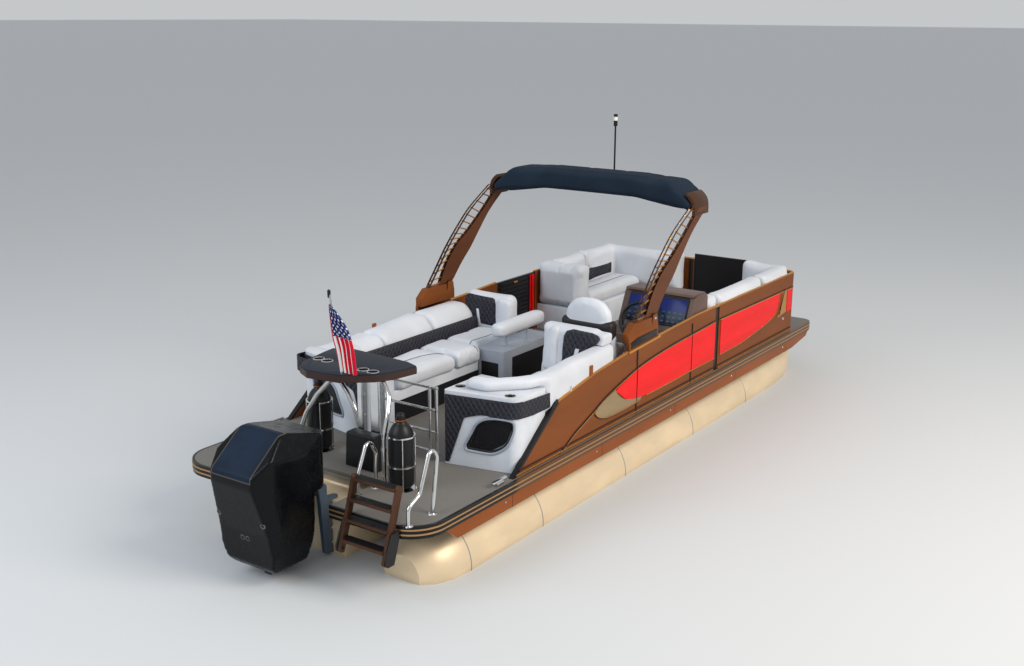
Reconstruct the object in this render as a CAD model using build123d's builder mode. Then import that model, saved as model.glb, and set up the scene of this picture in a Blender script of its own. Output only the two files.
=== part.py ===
from build123d import *
import math
import os

os.makedirs("parts", exist_ok=True)

# A three-tube pleasure boat in millimetres: +X to the bow, +Y to port, +Z up.
# The origin is amidships on the waterline. Places are given from the stern edge and above the deck.

# Hull and deck
DECK_LENGTH = 7620
DECK_BEAM = 2590
DECK_TOP = 580
DECK_THICK = 30
STERN_CORNER = 300
BOW_CORNER = 150
WELL_DEEP = 560
WELL_HALF = 420
RAIL_WIDE = 25
RAIL_TALL = 100
BEAD_PROUD = 4
BEAD_TALL = 12
TUBE_R = 343
TUBE_INSET = 395
TUBE_SINK = 30
KEEL_WIDE = 40
KEEL_TALL = 20
STRAKE_WIDE = 75
SKIRT_THICK = 20
SKIRT_TALL = 110
BEAM_WIDE = 40
BEAM_STEP = 406
FIRST_BEAM = 640
OUTRIGGER = 220
RISER_WIDE = 150
POD_HALF = 300
POD_AFT = 300
POD_FORE = 1000

STERN = -DECK_LENGTH / 2
BOW = DECK_LENGTH / 2
RAIL_FACE = DECK_BEAM / 2
BOARD_FACE = RAIL_FACE - RAIL_WIDE
TUBE_SIDE = RAIL_FACE - TUBE_INSET
BEAM_TALL = RAIL_TALL - DECK_THICK
FRAME_LOW = DECK_TOP - RAIL_TALL

# Fence
FENCE_INSET = 45
FENCE_THICK = 30
FENCE_TALL = 690
FENCE_CORNER = 80
FENCE_AFT = 1240
FOREDECK = 570
INLAY = 6
SEAM = 14
TRIM_PROUD = 8
JOINT_AFT = 4900
JOINT_WIDE = 90
FENCE_FACE = RAIL_FACE - FENCE_INSET
FENCE_IN = FENCE_FACE - FENCE_THICK
FRONT_FACE = BOW - FOREDECK
FRONT_IN = FRONT_FACE - FENCE_THICK
SNUG = 6
GAP = 0.3
FIT = 0.05

# Gates
GATE_THICK = 30
HINGE_R = 14
STERN_GATE_PORT = 130
STERN_GATE_STARBOARD = -540
PORT_GATE_AFT = 4500
PORT_GATE_WIDE = 760
BOW_GATE_PORT = 50
BOW_GATE_STARBOARD = -620
BOW_GATE_TALL = 755
GATE_GAP = 6
SILL = 20

# Seats and helm
CONSOLE_AFT = 4200
CONSOLE_LONG = 560
POD_X = 1215
POD_TALL = 630
BASE_TALL = 300
SEAT_TALL = 440
BACK_TALL = 680
SIDE_DEPTH = 340
QUILT_THICK = 40
LOUNGE_END = 3640
LOUNGE_EDGE = 320
BACKREST_THICK = 150
BACKREST_TALL = 810

# Joint axes
TILT_X = 200
TILT_UP = 0
STEER_X = 80
LADDER_X = -117
LADDER_UP = -235
ARCH_X = 3590
ARCH_UP = 845
CHAIR_X = 3330
CHAIR_INSET = 400
CHAIR_Y = CHAIR_INSET - FENCE_IN
PIN_R = 18


def fwd(distance):
    """X of a place measured forward from the stern edge."""
    return STERN + distance


def up(height):
    """Z of a place measured up from the deck."""
    return DECK_TOP + height


def outline(plane, rows, depth, mode=Mode.ADD):
    """Extrude a closed outline into the open part; its rows hold two places and a corner radius."""
    points = [row[:2] for row in rows]
    radii = [row[2] if len(row) > 2 else 0 for row in rows]
    with BuildSketch(plane) as face:
        with BuildLine():
            if any(radii):
                FilletPolyline(*points, radius=radii, close=True)
            else:
                Polyline(*points, close=True)
        make_face()
    extrude(face.sketch, amount=depth, mode=mode)


def plan(rows, low, high, mode=Mode.ADD):
    """A shape seen from above: rows of x, y and corner radius, between two heights."""
    outline(Plane.XY.offset(low), rows, high - low, mode)


def side(rows, low, high, mode=Mode.ADD):
    """A shape seen from the side: rows of x, z and corner radius, between two sides."""
    outline(Plane.XZ.offset(-high), rows, high - low, mode)


def front(rows, low, high, mode=Mode.ADD):
    """A shape seen from the front: rows of y, z and corner radius, between two lengths."""
    outline(Plane.YZ.offset(low), rows, high - low, mode)


def corners(first, second, third, fourth, radius=0):
    """The four corners of a rectangle from its low and high values, each with one radius."""
    return [(first, third, radius), (second, third, radius), (second, fourth, radius), (first, fourth, radius)]


def block(x_low, x_high, y_low, y_high, z_low, z_high, radius=0, mode=Mode.ADD):
    """A box with its upright edges rounded."""
    plan(corners(x_low, x_high, y_low, y_high, radius), z_low, z_high, mode)


def rod(points, radius, bends):
    """A round bar along straight runs that meet in arcs."""
    start = Vector(*points[0])
    with BuildLine() as path:
        if bends:
            FilletPolyline(*points, radius=bends)
        else:
            Line(points[0], points[1])
    with BuildSketch(Plane(origin=start, z_dir=Vector(*points[1]) - start)) as ring:
        Circle(radius)
    sweep(ring.sketch, path=path.line)


def pin(x, z, y_low, y_high, radius, mode=Mode.ADD):
    """A round pin across the boat."""
    with BuildSketch(Plane.XZ.offset(-y_high)) as disc:
        with Locations((x, z)):
            Circle(radius)
    extrude(disc.sketch, amount=y_high - y_low, mode=mode)


def post(x, y, z_low, z_high, radius, mode=Mode.ADD):
    """An upright round post."""
    with BuildSketch(Plane.XY.offset(z_low)) as disc:
        with Locations((x, y)):
            Circle(radius)
    extrude(disc.sketch, amount=z_high - z_low, mode=mode)


# Tubes: a round body, a rounded tail and a nose that rises to the bow
TUBE_BODY_AFT = 680
TUBE_BODY_FORE = 1320
# distance aft of the body's end, share of the radius
TAIL_ROWS = [(0, 1.0), (180, 0.95), (330, 0.76), (410, 0.5)]
# distance forward of the body's end, share of the radius, rise of the centre
NOSE_ROWS = [(0, 1.0, 0), (450, 0.95, 17), (850, 0.8, 69), (1120, 0.52, 165), (1270, 0.2, 270)]
TUBE_NOSE = BOW - TUBE_BODY_FORE
STRAKE_AFT = 220
STRAKE_FORE = 1700


def float_tube(centre, body_aft, tail):
    """One float with its keel and two lifting strakes."""
    with BuildSketch(Plane.YZ.offset(fwd(body_aft))) as disc:
        with Locations((centre, TUBE_SINK)):
            Circle(TUBE_R)
    extrude(disc.sketch, amount=TUBE_NOSE - fwd(body_aft))
    nose = []
    for ahead, share, rise in NOSE_ROWS:
        with BuildSketch(Plane.YZ.offset(TUBE_NOSE + ahead)) as ring:
            with Locations((centre, TUBE_SINK + rise)):
                Circle(TUBE_R * share)
        nose.append(ring.sketch)
    loft(nose, ruled=True)
    if tail:
        rings = []
        for astern, share in TAIL_ROWS:
            with BuildSketch(Plane.YZ.offset(fwd(body_aft) - astern)) as ring:
                with Locations((centre, TUBE_SINK)):
                    Circle(TUBE_R * share)
            rings.append(ring.sketch)
        loft(rings, ruled=True)
    keel_low = TUBE_SINK - TUBE_R - KEEL_TALL
    block(
        fwd(body_aft + STRAKE_AFT), BOW - STRAKE_FORE, centre - KEEL_WIDE / 2, centre + KEEL_WIDE / 2,
        keel_low, TUBE_SINK - TUBE_R + KEEL_TALL,
    )
    for hand in (-1, 1):
        edge = centre + hand * TUBE_R * 0.87
        foot = TUBE_SINK - TUBE_R * 0.5
        front(
            [(edge - hand * STRAKE_WIDE * 0.6, foot - 20), (edge + hand * STRAKE_WIDE, foot - 12),
             (edge + hand * STRAKE_WIDE, foot), (edge - hand * STRAKE_WIDE * 0.4, foot + 70)],
            fwd(body_aft + STRAKE_AFT), BOW - STRAKE_FORE,
        )


with BuildPart() as tubes_outer:
    for hand in (-1, 1):
        float_tube(hand * TUBE_SIDE, TUBE_BODY_AFT, True)

with BuildPart() as tube_centre:
    float_tube(0, POD_FORE, False)


# Deck frame: cross-members on three risers that saddle the tubes
def beam_places():
    """Distances of the cross-members from the stern."""
    count = int((DECK_LENGTH - FIRST_BEAM - BEAM_STEP) // BEAM_STEP) + 1
    return [FIRST_BEAM + BEAM_STEP * number for number in range(count)]


with BuildPart() as deck_frame:
    for place in beam_places():
        block(
            fwd(place), fwd(place + BEAM_WIDE), -BOARD_FACE, BOARD_FACE, FRAME_LOW, FRAME_LOW + BEAM_TALL
        )
    riser_fore = TUBE_NOSE - BEAM_STEP / 4
    for centre, start in ((-TUBE_SIDE, TUBE_BODY_AFT + 60), (0, POD_FORE + 20), (TUBE_SIDE, TUBE_BODY_AFT + 60)):
        block(
            fwd(start), riser_fore, centre - RISER_WIDE / 2, centre + RISER_WIDE / 2,
            TUBE_SINK + TUBE_R * 0.9, FRAME_LOW,
        )
        with BuildSketch(Plane.YZ.offset(fwd(start) - 10)) as bore:
            with Locations((centre, TUBE_SINK)):
                Circle(TUBE_R)
        extrude(bore.sketch, amount=riser_fore - fwd(start) + 20, mode=Mode.SUBTRACT)
    for hand in (-1, 1):
        near, far = sorted((hand * (WELL_HALF + 20), hand * (BOARD_FACE - 90)))
        block(
            fwd(OUTRIGGER), fwd(OUTRIGGER + BEAM_WIDE), near, far, FRAME_LOW, FRAME_LOW + BEAM_TALL
        )


# Deck board and the rail round its edge
def deck_rows(inset):
    """The deck's plan, drawn in from the rail's outer face."""
    return [
        (STERN + inset, -RAIL_FACE + inset, STERN_CORNER - inset),
        (BOW - inset, -RAIL_FACE + inset, BOW_CORNER - inset),
        (BOW - inset, RAIL_FACE - inset, BOW_CORNER - inset),
        (STERN + inset, RAIL_FACE - inset, STERN_CORNER - inset),
    ]


def cut_well(low, high):
    """Cut the motor well out of the stern."""
    plan(
        [(STERN - 50, -WELL_HALF), (fwd(WELL_DEEP), -WELL_HALF, 60),
         (fwd(WELL_DEEP), WELL_HALF, 60), (STERN - 50, WELL_HALF)],
        low, high, Mode.SUBTRACT,
    )


with BuildPart() as deck:
    plan(deck_rows(RAIL_WIDE), DECK_TOP - DECK_THICK, DECK_TOP)
    cut_well(DECK_TOP - DECK_THICK - 10, DECK_TOP + 10)

# heights of the two bright beads, below the deck
BEAD_DROPS = (30, 68)
with BuildPart() as rub_rail:
    plan(deck_rows(BEAD_PROUD), FRAME_LOW, DECK_TOP)
    for drop in BEAD_DROPS:
        plan(deck_rows(0), DECK_TOP - drop - BEAD_TALL / 2, DECK_TOP - drop + BEAD_TALL / 2)
    plan(deck_rows(RAIL_WIDE), FRAME_LOW - 10, DECK_TOP + 10, Mode.SUBTRACT)
    cut_well(FRAME_LOW - 10, DECK_TOP + 10)

# Skirts under the rail
SKIRT_AFT = 330
SKIRT_FACE = RAIL_FACE - BEAD_PROUD - 6
with BuildPart() as deck_skirts:
    for hand in (-1, 1):
        near, far = sorted((hand * (SKIRT_FACE - SKIRT_THICK), hand * SKIRT_FACE))
        side(
            [(fwd(SKIRT_AFT), FRAME_LOW), (BOW - BOW_CORNER, FRAME_LOW),
             (BOW - BOW_CORNER - 60, FRAME_LOW - SKIRT_TALL / 2), (BOW - BOW_CORNER - 500, FRAME_LOW - SKIRT_TALL),
             (fwd(SKIRT_AFT + 140), FRAME_LOW - SKIRT_TALL)],
            near, far,
        )

# Motor pod with its transom
POD_TOP = -120
with BuildPart() as motor_pod:
    side(
        [(fwd(POD_AFT), up(POD_TOP)), (fwd(WELL_DEEP), up(POD_TOP)), (fwd(WELL_DEEP), FRAME_LOW),
         (fwd(POD_FORE), FRAME_LOW), (fwd(POD_FORE), TUBE_SINK - TUBE_R), (fwd(480), TUBE_SINK - TUBE_R + 50),
         (fwd(POD_AFT), TUBE_SINK - TUBE_R + 180)],
        -POD_HALF, POD_HALF,
    )


# Fence: one band of panel each side, cut to its rising top line
# distance from the stern, drop below the fence's full height; the arch stands on the straight run between its
# foot's two ends
FOOT_AFT = 3100
FOOT_FORE = 3650
FOOT_AFT_DROP = 68
FOOT_FORE_DROP = 38
FENCE_TOP_ROWS = [(4480, 0), (FOOT_FORE, FOOT_FORE_DROP), (FOOT_AFT, FOOT_AFT_DROP), (2500, 122), (1860, 228)]


def fence_side(hand, gate_edge):
    """The panels from the stern slope round the bow corner to the bow gate."""
    rows = [
        (fwd(FENCE_AFT), hand * FENCE_FACE), (FRONT_FACE, hand * FENCE_FACE, FENCE_CORNER),
        (FRONT_FACE, gate_edge), (FRONT_IN, gate_edge),
        (FRONT_IN, hand * FENCE_IN, FENCE_CORNER - FENCE_THICK), (fwd(FENCE_AFT), hand * FENCE_IN),
    ]
    plan(rows, DECK_TOP, up(FENCE_TALL))
    slope = [(fwd(place), up(FENCE_TALL - drop)) for place, drop in FENCE_TOP_ROWS]
    side(
        [(fwd(FENCE_AFT), DECK_TOP), (BOW, DECK_TOP), (BOW, up(FENCE_TALL))] + slope,
        -RAIL_FACE, RAIL_FACE, Mode.INTERSECT,
    )


with BuildPart() as fence_starboard:
    fence_side(-1, BOW_GATE_STARBOARD - GATE_GAP)
    block(
        fwd(JOINT_AFT), fwd(JOINT_AFT + JOINT_WIDE), -RAIL_FACE, 0, DECK_TOP - 10, up(FENCE_TALL + 10),
        mode=Mode.SUBTRACT,
    )

with BuildPart() as fence_port:
    fence_side(1, BOW_GATE_PORT + GATE_GAP)
    block(
        fwd(PORT_GATE_AFT), fwd(PORT_GATE_AFT + PORT_GATE_WIDE), 0, RAIL_FACE, DECK_TOP - 10,
        up(FENCE_TALL + 10), mode=Mode.SUBTRACT,
    )

# Red inlays: distance from the stern, height above the deck
AFT_INLAY = [
    (2861, 315), (3050, 376), (3302, 430), (3690, 472), (4200, 503), (4895, 530), (4895, 150), (3434, 138),
    (3060, 185),
]
FRONT_PLACE = DECK_LENGTH - FOREDECK
BOW_INLAY = [
    (5028, 528), (FRONT_PLACE - 450, 530), (FRONT_PLACE - 530, 292), (FRONT_PLACE - 985, 256), (5543, 187), (5028, 165),
]
END_INLAY = [
    (FRONT_PLACE - 250, 519), (FRONT_PLACE - 100, 519), (FRONT_PLACE - 100, 261), (FRONT_PLACE - 235, 255),
]
SEAM_PLACES = (3250, 4367)

with BuildPart() as fence_inlays:
    for hand in (-1, 1):
        near, far = sorted((hand * FENCE_FACE, hand * (FENCE_FACE + INLAY)))
        for rows in (AFT_INLAY, BOW_INLAY, END_INLAY):
            side([(fwd(place), up(height)) for place, height in rows], near, far)
        for place in SEAM_PLACES:
            block(
                fwd(place - SEAM / 2), fwd(place + SEAM / 2), near, far, DECK_TOP, up(FENCE_TALL),
                mode=Mode.SUBTRACT,
            )
    block(
        fwd(PORT_GATE_AFT), fwd(PORT_GATE_AFT + PORT_GATE_WIDE), 0, RAIL_FACE, DECK_TOP, up(FENCE_TALL),
        mode=Mode.SUBTRACT,
    )

# Black trim: the edge strip on the stern slope, the seams and the joint post
TRIM_WIDE = 28
with BuildPart() as fence_trim:
    slope_place, slope_drop = FENCE_TOP_ROWS[-1]
    for hand in (-1, 1):
        near, far = sorted((hand * FENCE_FACE, hand * (FENCE_FACE + TRIM_PROUD)))
        side(
            [(fwd(FENCE_AFT), DECK_TOP), (fwd(slope_place), up(FENCE_TALL - slope_drop)),
             (fwd(slope_place + TRIM_WIDE * 1.6), up(FENCE_TALL - slope_drop)),
             (fwd(FENCE_AFT + TRIM_WIDE * 1.6), DECK_TOP)],
            near, far,
        )
        for place in SEAM_PLACES:
            block(
                fwd(place - SEAM / 2), fwd(place + SEAM / 2), near, far, DECK_TOP, up(FENCE_TALL - 60)
            )
    block(
        fwd(JOINT_AFT), fwd(JOINT_AFT + JOINT_WIDE), -FENCE_FACE + TRIM_PROUD, -FENCE_IN,
        DECK_TOP, up(FENCE_TALL - 20),
    )


# Gates: each swings on a post at its hinge side
GATE_BARS = (80, 250, 440, 630)
STERN_GATE_X = POD_X - 10
BAR_R = 11
with BuildPart() as stern_gate:
    for height in GATE_BARS:
        rod(
            [(fwd(STERN_GATE_X), STERN_GATE_PORT - 30, up(height)),
             (fwd(STERN_GATE_X), STERN_GATE_STARBOARD + 12, up(height))],
            BAR_R, [],
        )
    post(fwd(STERN_GATE_X), STERN_GATE_PORT - 30, up(SILL), up(GATE_BARS[-1] + 15), HINGE_R)
    for place in (STERN_GATE_STARBOARD + 26, STERN_GATE_STARBOARD + 96):
        post(fwd(STERN_GATE_X), place, up(SILL), up(GATE_BARS[-1] + 15), HINGE_R)

GATE_Y = FENCE_IN + FENCE_THICK / 2
BARREL_R = GATE_THICK / 2
PORT_HINGE = PORT_GATE_AFT + PORT_GATE_WIDE - GATE_GAP - BARREL_R
with BuildPart() as port_gate:
    block(
        fwd(PORT_GATE_AFT + GATE_GAP), fwd(PORT_HINGE),
        GATE_Y - GATE_THICK / 2, GATE_Y + GATE_THICK / 2, up(SILL), up(FENCE_TALL - SNUG),
    )
    post(fwd(PORT_HINGE), GATE_Y, up(SILL), up(FENCE_TALL - SNUG), BARREL_R)

BOW_GATE_X = (FRONT_FACE + FRONT_IN) / 2
BOW_HINGE = BOW_GATE_PORT - BARREL_R
with BuildPart() as bow_gate:
    block(
        BOW_GATE_X - GATE_THICK / 2, BOW_GATE_X + GATE_THICK / 2,
        BOW_GATE_STARBOARD, BOW_HINGE, up(SILL), up(BOW_GATE_TALL),
    )
    post(BOW_GATE_X, BOW_HINGE, up(SILL), up(BOW_GATE_TALL), BARREL_R)

# Sockets on the deck that carry the gates at their hinge sides
SOCKET = 24
with BuildPart() as gate_sockets:
    for x, y in (
        (fwd(STERN_GATE_X), STERN_GATE_PORT - 30), (fwd(PORT_HINGE), GATE_Y), (BOW_GATE_X, BOW_HINGE),
    ):
        post(x, y, DECK_TOP, up(SILL - GAP), SOCKET / 2)

# Stern pods: white shells each side of the stern gate, skewed forward towards the fence
POD_STARBOARD = STERN_GATE_STARBOARD - 30
POD_PORT = STERN_GATE_PORT + 110
POD_SLOPE = 0.2
CHAISE_AFT = POD_X + 535
LOUNGE_AFT = POD_X + POD_SLOPE * (FENCE_IN - POD_PORT) + 149
SPEAKER_DEEP = 30
SPEAKER_RIM = 28
BAND_PROUD = 12
CUP_R = 42
CUP_DEEP = 50
# side, inner edge, forward end, radius of the outer corner
PODS = [(-1, POD_STARBOARD, CHAISE_AFT, 90), (1, POD_PORT, LOUNGE_AFT, 160)]
# distance outward from the middle of the face, height above the deck, corner radius
SPEAKER_ROWS = [
    (-155, 135, 50), (-20, 400, 100), (120, 450, 150), (290, 452, 50), (305, 370, 60), (250, 225, 120),
    (110, 138, 100),
]
# distance outward from the pod's inner edge, height above the deck, corner radius
BAND_ROWS = [(25, 20), (55, 20), (190, 420, 50), (330, 462, 150), (1300, 500), (1300, 600), (25, 600)]
# distance forward of the aft face, distance outward from the inner edge
POD_CUPS = [(150, 60), (80, 540)]


def pod_rows(pod, grow):
    """A pod seen from above, with its aft face moved aft by the growth."""
    hand, inner, fore, radius = pod
    slant = POD_SLOPE * (FENCE_IN - hand * inner)
    return [
        (fwd(POD_X) - grow, inner, 30), (fwd(POD_X + slant) - grow, hand * FENCE_IN, radius),
        (fwd(fore), hand * FENCE_IN), (fwd(fore), inner),
    ]


def pod_speaker(pod, sink, trim):
    """The outline of a speaker on a plane sunk behind the pod's aft face."""
    hand, inner, fore, radius = pod
    outward = FENCE_IN - hand * inner
    across = Vector(-hand * POD_SLOPE, -1, 0)
    face = Plane(
        origin=Vector(fwd(POD_X + POD_SLOPE * outward / 2), inner + hand * outward / 2, DECK_TOP),
        x_dir=across, z_dir=Vector(-1, hand * POD_SLOPE, 0),
    ).offset(-sink)
    rows = [(-hand * out, height, bend) for out, height, bend in SPEAKER_ROWS]
    with BuildSketch(face) as slot:
        with BuildLine():
            FilletPolyline(*[row[:2] for row in rows], radius=[row[2] for row in rows], close=True)
        make_face()
        if trim:
            offset(amount=-trim, mode=Mode.REPLACE)
    return slot.sketch


def stern_pod(pod):
    """One shell with the recess of its speaker and the cup holders in its top."""
    hand, inner, fore, radius = pod
    plan(pod_rows(pod, 0), DECK_TOP, up(POD_TALL))
    extrude(pod_speaker(pod, 0, 0), amount=-SPEAKER_DEEP, mode=Mode.SUBTRACT)
    for ahead, outward in POD_CUPS:
        post(
            fwd(POD_X + POD_SLOPE * outward + ahead), inner + hand * outward, up(POD_TALL - CUP_DEEP),
            up(POD_TALL + 5), CUP_R, Mode.SUBTRACT,
        )


with BuildPart() as stern_pod_starboard:
    stern_pod(PODS[0])

with BuildPart() as stern_pod_port:
    stern_pod(PODS[1])

with BuildPart() as speakers:
    for pod in PODS:
        extrude(pod_speaker(pod, SPEAKER_DEEP, SPEAKER_RIM), amount=SPEAKER_DEEP - 10)


def quilted_band(pod):
    """The band across a pod's aft face and down its inner edge."""
    hand, inner, fore, radius = pod
    plan(pod_rows(pod, BAND_PROUD), DECK_TOP, up(POD_TALL))
    rows = [(inner + hand * row[0], up(row[1])) + row[2:] for row in BAND_ROWS]
    front(rows, fwd(POD_X) - 100, fwd(fore), Mode.INTERSECT)
    plan(pod_rows(pod, 0), DECK_TOP - 10, up(POD_TALL + 10), Mode.SUBTRACT)


# Quilted bands on the pods' aft faces
with BuildPart() as quilted_bands:
    with BuildPart(mode=Mode.PRIVATE) as starboard_band:
        quilted_band(PODS[0])
    with BuildPart(mode=Mode.PRIVATE) as port_band:
        quilted_band(PODS[1])
    add(starboard_band.part)
    add(port_band.part)

# Port lounge
CABINET_AFT = 3000
CABINET_LONG = 900
CABINET_FORE = CABINET_AFT + CABINET_LONG
CABINET_SIDE = 400
CABINET_EDGE = 80
BACK_IN = FENCE_IN - SIDE_DEPTH
QUILT_IN = BACK_IN - QUILT_THICK
AFT_BACK = 1700
AFT_BACK_IN = 420
TOE_TALL = 80
TOE_IN = 60
LOUNGE_FORE = LOUNGE_END + BACKREST_THICK

with BuildPart() as lounge_base:
    plan(
        [(fwd(LOUNGE_AFT), LOUNGE_EDGE + TOE_IN), (fwd(CABINET_AFT), LOUNGE_EDGE + TOE_IN),
         (fwd(CABINET_AFT), CABINET_SIDE), (fwd(LOUNGE_FORE), CABINET_SIDE), (fwd(LOUNGE_FORE), FENCE_IN),
         (fwd(LOUNGE_AFT), FENCE_IN)],
        DECK_TOP, up(BASE_TALL),
    )

with BuildPart() as lounge_seat:
    plan(
        [(fwd(AFT_BACK + QUILT_THICK), LOUNGE_EDGE, 60), (fwd(CABINET_AFT), LOUNGE_EDGE, 60),
         (fwd(CABINET_AFT), CABINET_SIDE), (fwd(LOUNGE_END), CABINET_SIDE), (fwd(LOUNGE_END), QUILT_IN),
         (fwd(AFT_BACK + QUILT_THICK), QUILT_IN)],
        up(BASE_TALL), up(SEAT_TALL),
    )

BACK_SKEW = 110
with BuildPart() as lounge_back:
    plan(
        [(fwd(LOUNGE_AFT), FENCE_IN), (fwd(LOUNGE_END), FENCE_IN), (fwd(LOUNGE_END), BACK_IN),
         (fwd(AFT_BACK), BACK_IN, 120), (fwd(AFT_BACK), AFT_BACK_IN), (fwd(LOUNGE_AFT), AFT_BACK_IN)],
        up(BASE_TALL), up(BACK_TALL),
    )
    side(
        [(fwd(LOUNGE_AFT) - 10, up(BACK_TALL - 60)), (fwd(2000), up(BACK_TALL - 60)), (fwd(2900), up(BACK_TALL)),
         (fwd(2900), up(BACK_TALL + 10)), (fwd(LOUNGE_AFT) - 10, up(BACK_TALL + 10))],
        0, FENCE_IN + 10, Mode.SUBTRACT,
    )
    front(
        [(BACK_IN - 10, up(SEAT_TALL + 120)), (BACK_IN, up(SEAT_TALL + 120)),
         (BACK_IN + BACK_SKEW, up(BACK_TALL + 10)), (BACK_IN - 10, up(BACK_TALL + 10))],
        fwd(AFT_BACK + 150), fwd(LOUNGE_END) + 10, Mode.SUBTRACT,
    )

with BuildPart() as lounge_quilt:
    plan(
        [(fwd(AFT_BACK + 150), QUILT_IN), (fwd(LOUNGE_END), QUILT_IN), (fwd(LOUNGE_END), BACK_IN),
         (fwd(AFT_BACK + 150), BACK_IN)],
        up(BASE_TALL), up(SEAT_TALL + 120),
    )

with BuildPart() as lounge_backrest:
    block(
        fwd(LOUNGE_END), fwd(LOUNGE_FORE), CABINET_SIDE + 20, FENCE_IN - 160, up(BASE_TALL), up(BACKREST_TALL)
    )
    fillet(lounge_backrest.edges().filter_by(Axis.X).group_by(Axis.Z)[-1], 80)

ARM_LOW = 550
ARM_HIGH = 680
CABINET_TALL = 420
ARM_Y = CABINET_EDGE + 100
with BuildPart() as armrest_cabinet:
    block(
        fwd(CABINET_AFT), fwd(CABINET_FORE), CABINET_EDGE, CABINET_SIDE, DECK_TOP, up(CABINET_TALL), 30
    )
    for place in (CABINET_AFT + 200, CABINET_FORE - 340):
        post(fwd(place), ARM_Y, up(CABINET_TALL), up(ARM_LOW), 13)

with BuildPart() as armrest_pad:
    block(
        fwd(CABINET_AFT), fwd(CABINET_FORE - 100), ARM_Y - 80, ARM_Y + 80, up(ARM_LOW), up(ARM_HIGH), 70
    )

# Starboard chaise, which faces aft
CHAISE_BACK = 2690
CHAISE_FORE = 2900
BOLSTER_THICK = 155
BOLSTER_FORE = 2960
BOLSTER_TALL = 755
CHAISE_IN = POD_STARBOARD + 40
BOLSTER_IN = -FENCE_IN + BOLSTER_THICK

with BuildPart() as chaise_base:
    block(fwd(CHAISE_AFT), fwd(CHAISE_FORE), -FENCE_IN, POD_STARBOARD, DECK_TOP, up(BASE_TALL))

with BuildPart() as chaise_seat:
    block(fwd(CHAISE_AFT), fwd(CHAISE_BACK), BOLSTER_IN, CHAISE_IN, up(BASE_TALL), up(SEAT_TALL))

with BuildPart() as chaise_back:
    side(
        [(fwd(CHAISE_BACK), up(BASE_TALL)), (fwd(CHAISE_BACK), up(SEAT_TALL)), (fwd(CHAISE_BACK + 60), up(890), 50),
         (fwd(CHAISE_FORE), up(890), 50), (fwd(CHAISE_FORE), up(BASE_TALL))],
        BOLSTER_IN, CHAISE_IN,
    )
    side(
        [(fwd(CHAISE_BACK + 45), up(BOLSTER_TALL)), (fwd(CHAISE_BACK + 60), up(870), 40), (fwd(CHAISE_FORE), up(870), 40),
         (fwd(CHAISE_FORE), up(BOLSTER_TALL))],
        -FENCE_IN + 25, BOLSTER_IN,
    )

ROLL_TALL = 720
# the roll that lies on the pod's top: distance aft of the chaise, distance from the centreline, corner radius
ROLL_ROWS = [
    (0, FENCE_IN, 0), (150, 1150, 100), (400, 900, 120), (425, 690, 40), (280, 690, 40), (255, 845, 80),
    (110, 1000, 80), (0, FENCE_IN - BOLSTER_THICK, 0),
]
with BuildPart() as side_bolster:
    side(
        [(fwd(CHAISE_AFT), up(BASE_TALL)), (fwd(CHAISE_FORE), up(BASE_TALL)), (fwd(CHAISE_FORE), up(BOLSTER_TALL)),
         (fwd(CHAISE_AFT + 550), up(BOLSTER_TALL)), (fwd(CHAISE_AFT), up(ROLL_TALL))],
        -FENCE_IN, BOLSTER_IN,
    )
    plan(
        [(fwd(CHAISE_AFT - astern), -across, bend) for astern, across, bend in ROLL_ROWS],
        up(POD_TALL), up(ROLL_TALL),
    )

# Bow lounges
BOW_SEAT_DEEP = 600
BOW_SEAT_IN = FENCE_IN - BOW_SEAT_DEEP
PORT_BOW_AFT = 5300
STARBOARD_BOW_AFT = CONSOLE_AFT + CONSOLE_LONG + 20
BOW_BACK_THICK = 165
BOW_BACK_TALL = 800
HEAD_TALL = 860
END_THICK = 240
BOW_END = FRONT_IN - 20
CORNER_FORE = BOW_END - FENCE_CORNER
CORNER_AFT = CORNER_FORE - BOW_BACK_THICK
# side, aft end, inner edge of the cushion across the fore end
BOW_LOUNGES = [(-1, STARBOARD_BOW_AFT, 680), (1, PORT_BOW_AFT, 100)]

with BuildPart() as bow_lounge_bases:
    for hand, start, inner in BOW_LOUNGES:
        near, far = sorted((hand * BOW_SEAT_IN, hand * FENCE_IN))
        block(fwd(start), CORNER_FORE, near, far, DECK_TOP, up(BASE_TALL))
        near, far = sorted((hand * min(inner, BOW_SEAT_IN), hand * FENCE_IN))
        block(CORNER_AFT, CORNER_FORE, near, far, DECK_TOP, up(BASE_TALL))

with BuildPart() as bow_lounge_seats:
    for hand, start, inner in BOW_LOUNGES:
        near, far = sorted((hand * BOW_SEAT_IN, hand * (FENCE_IN - BOW_BACK_THICK)))
        block(fwd(start + END_THICK), CORNER_AFT, near, far, up(BASE_TALL), up(SEAT_TALL))

with BuildPart() as bow_lounge_backs:
    for hand, start, inner in BOW_LOUNGES:
        rows = [
            (fwd(start), hand * BOW_SEAT_IN), (fwd(start), hand * FENCE_IN), (CORNER_FORE, hand * FENCE_IN),
            (CORNER_FORE, hand * inner), (CORNER_AFT, hand * inner), (CORNER_AFT, hand * (FENCE_IN - BOW_BACK_THICK)),
            (fwd(start + END_THICK), hand * (FENCE_IN - BOW_BACK_THICK)), (fwd(start + END_THICK), hand * BOW_SEAT_IN),
        ]
        plan(rows, up(BASE_TALL), up(BOW_BACK_TALL))

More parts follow.
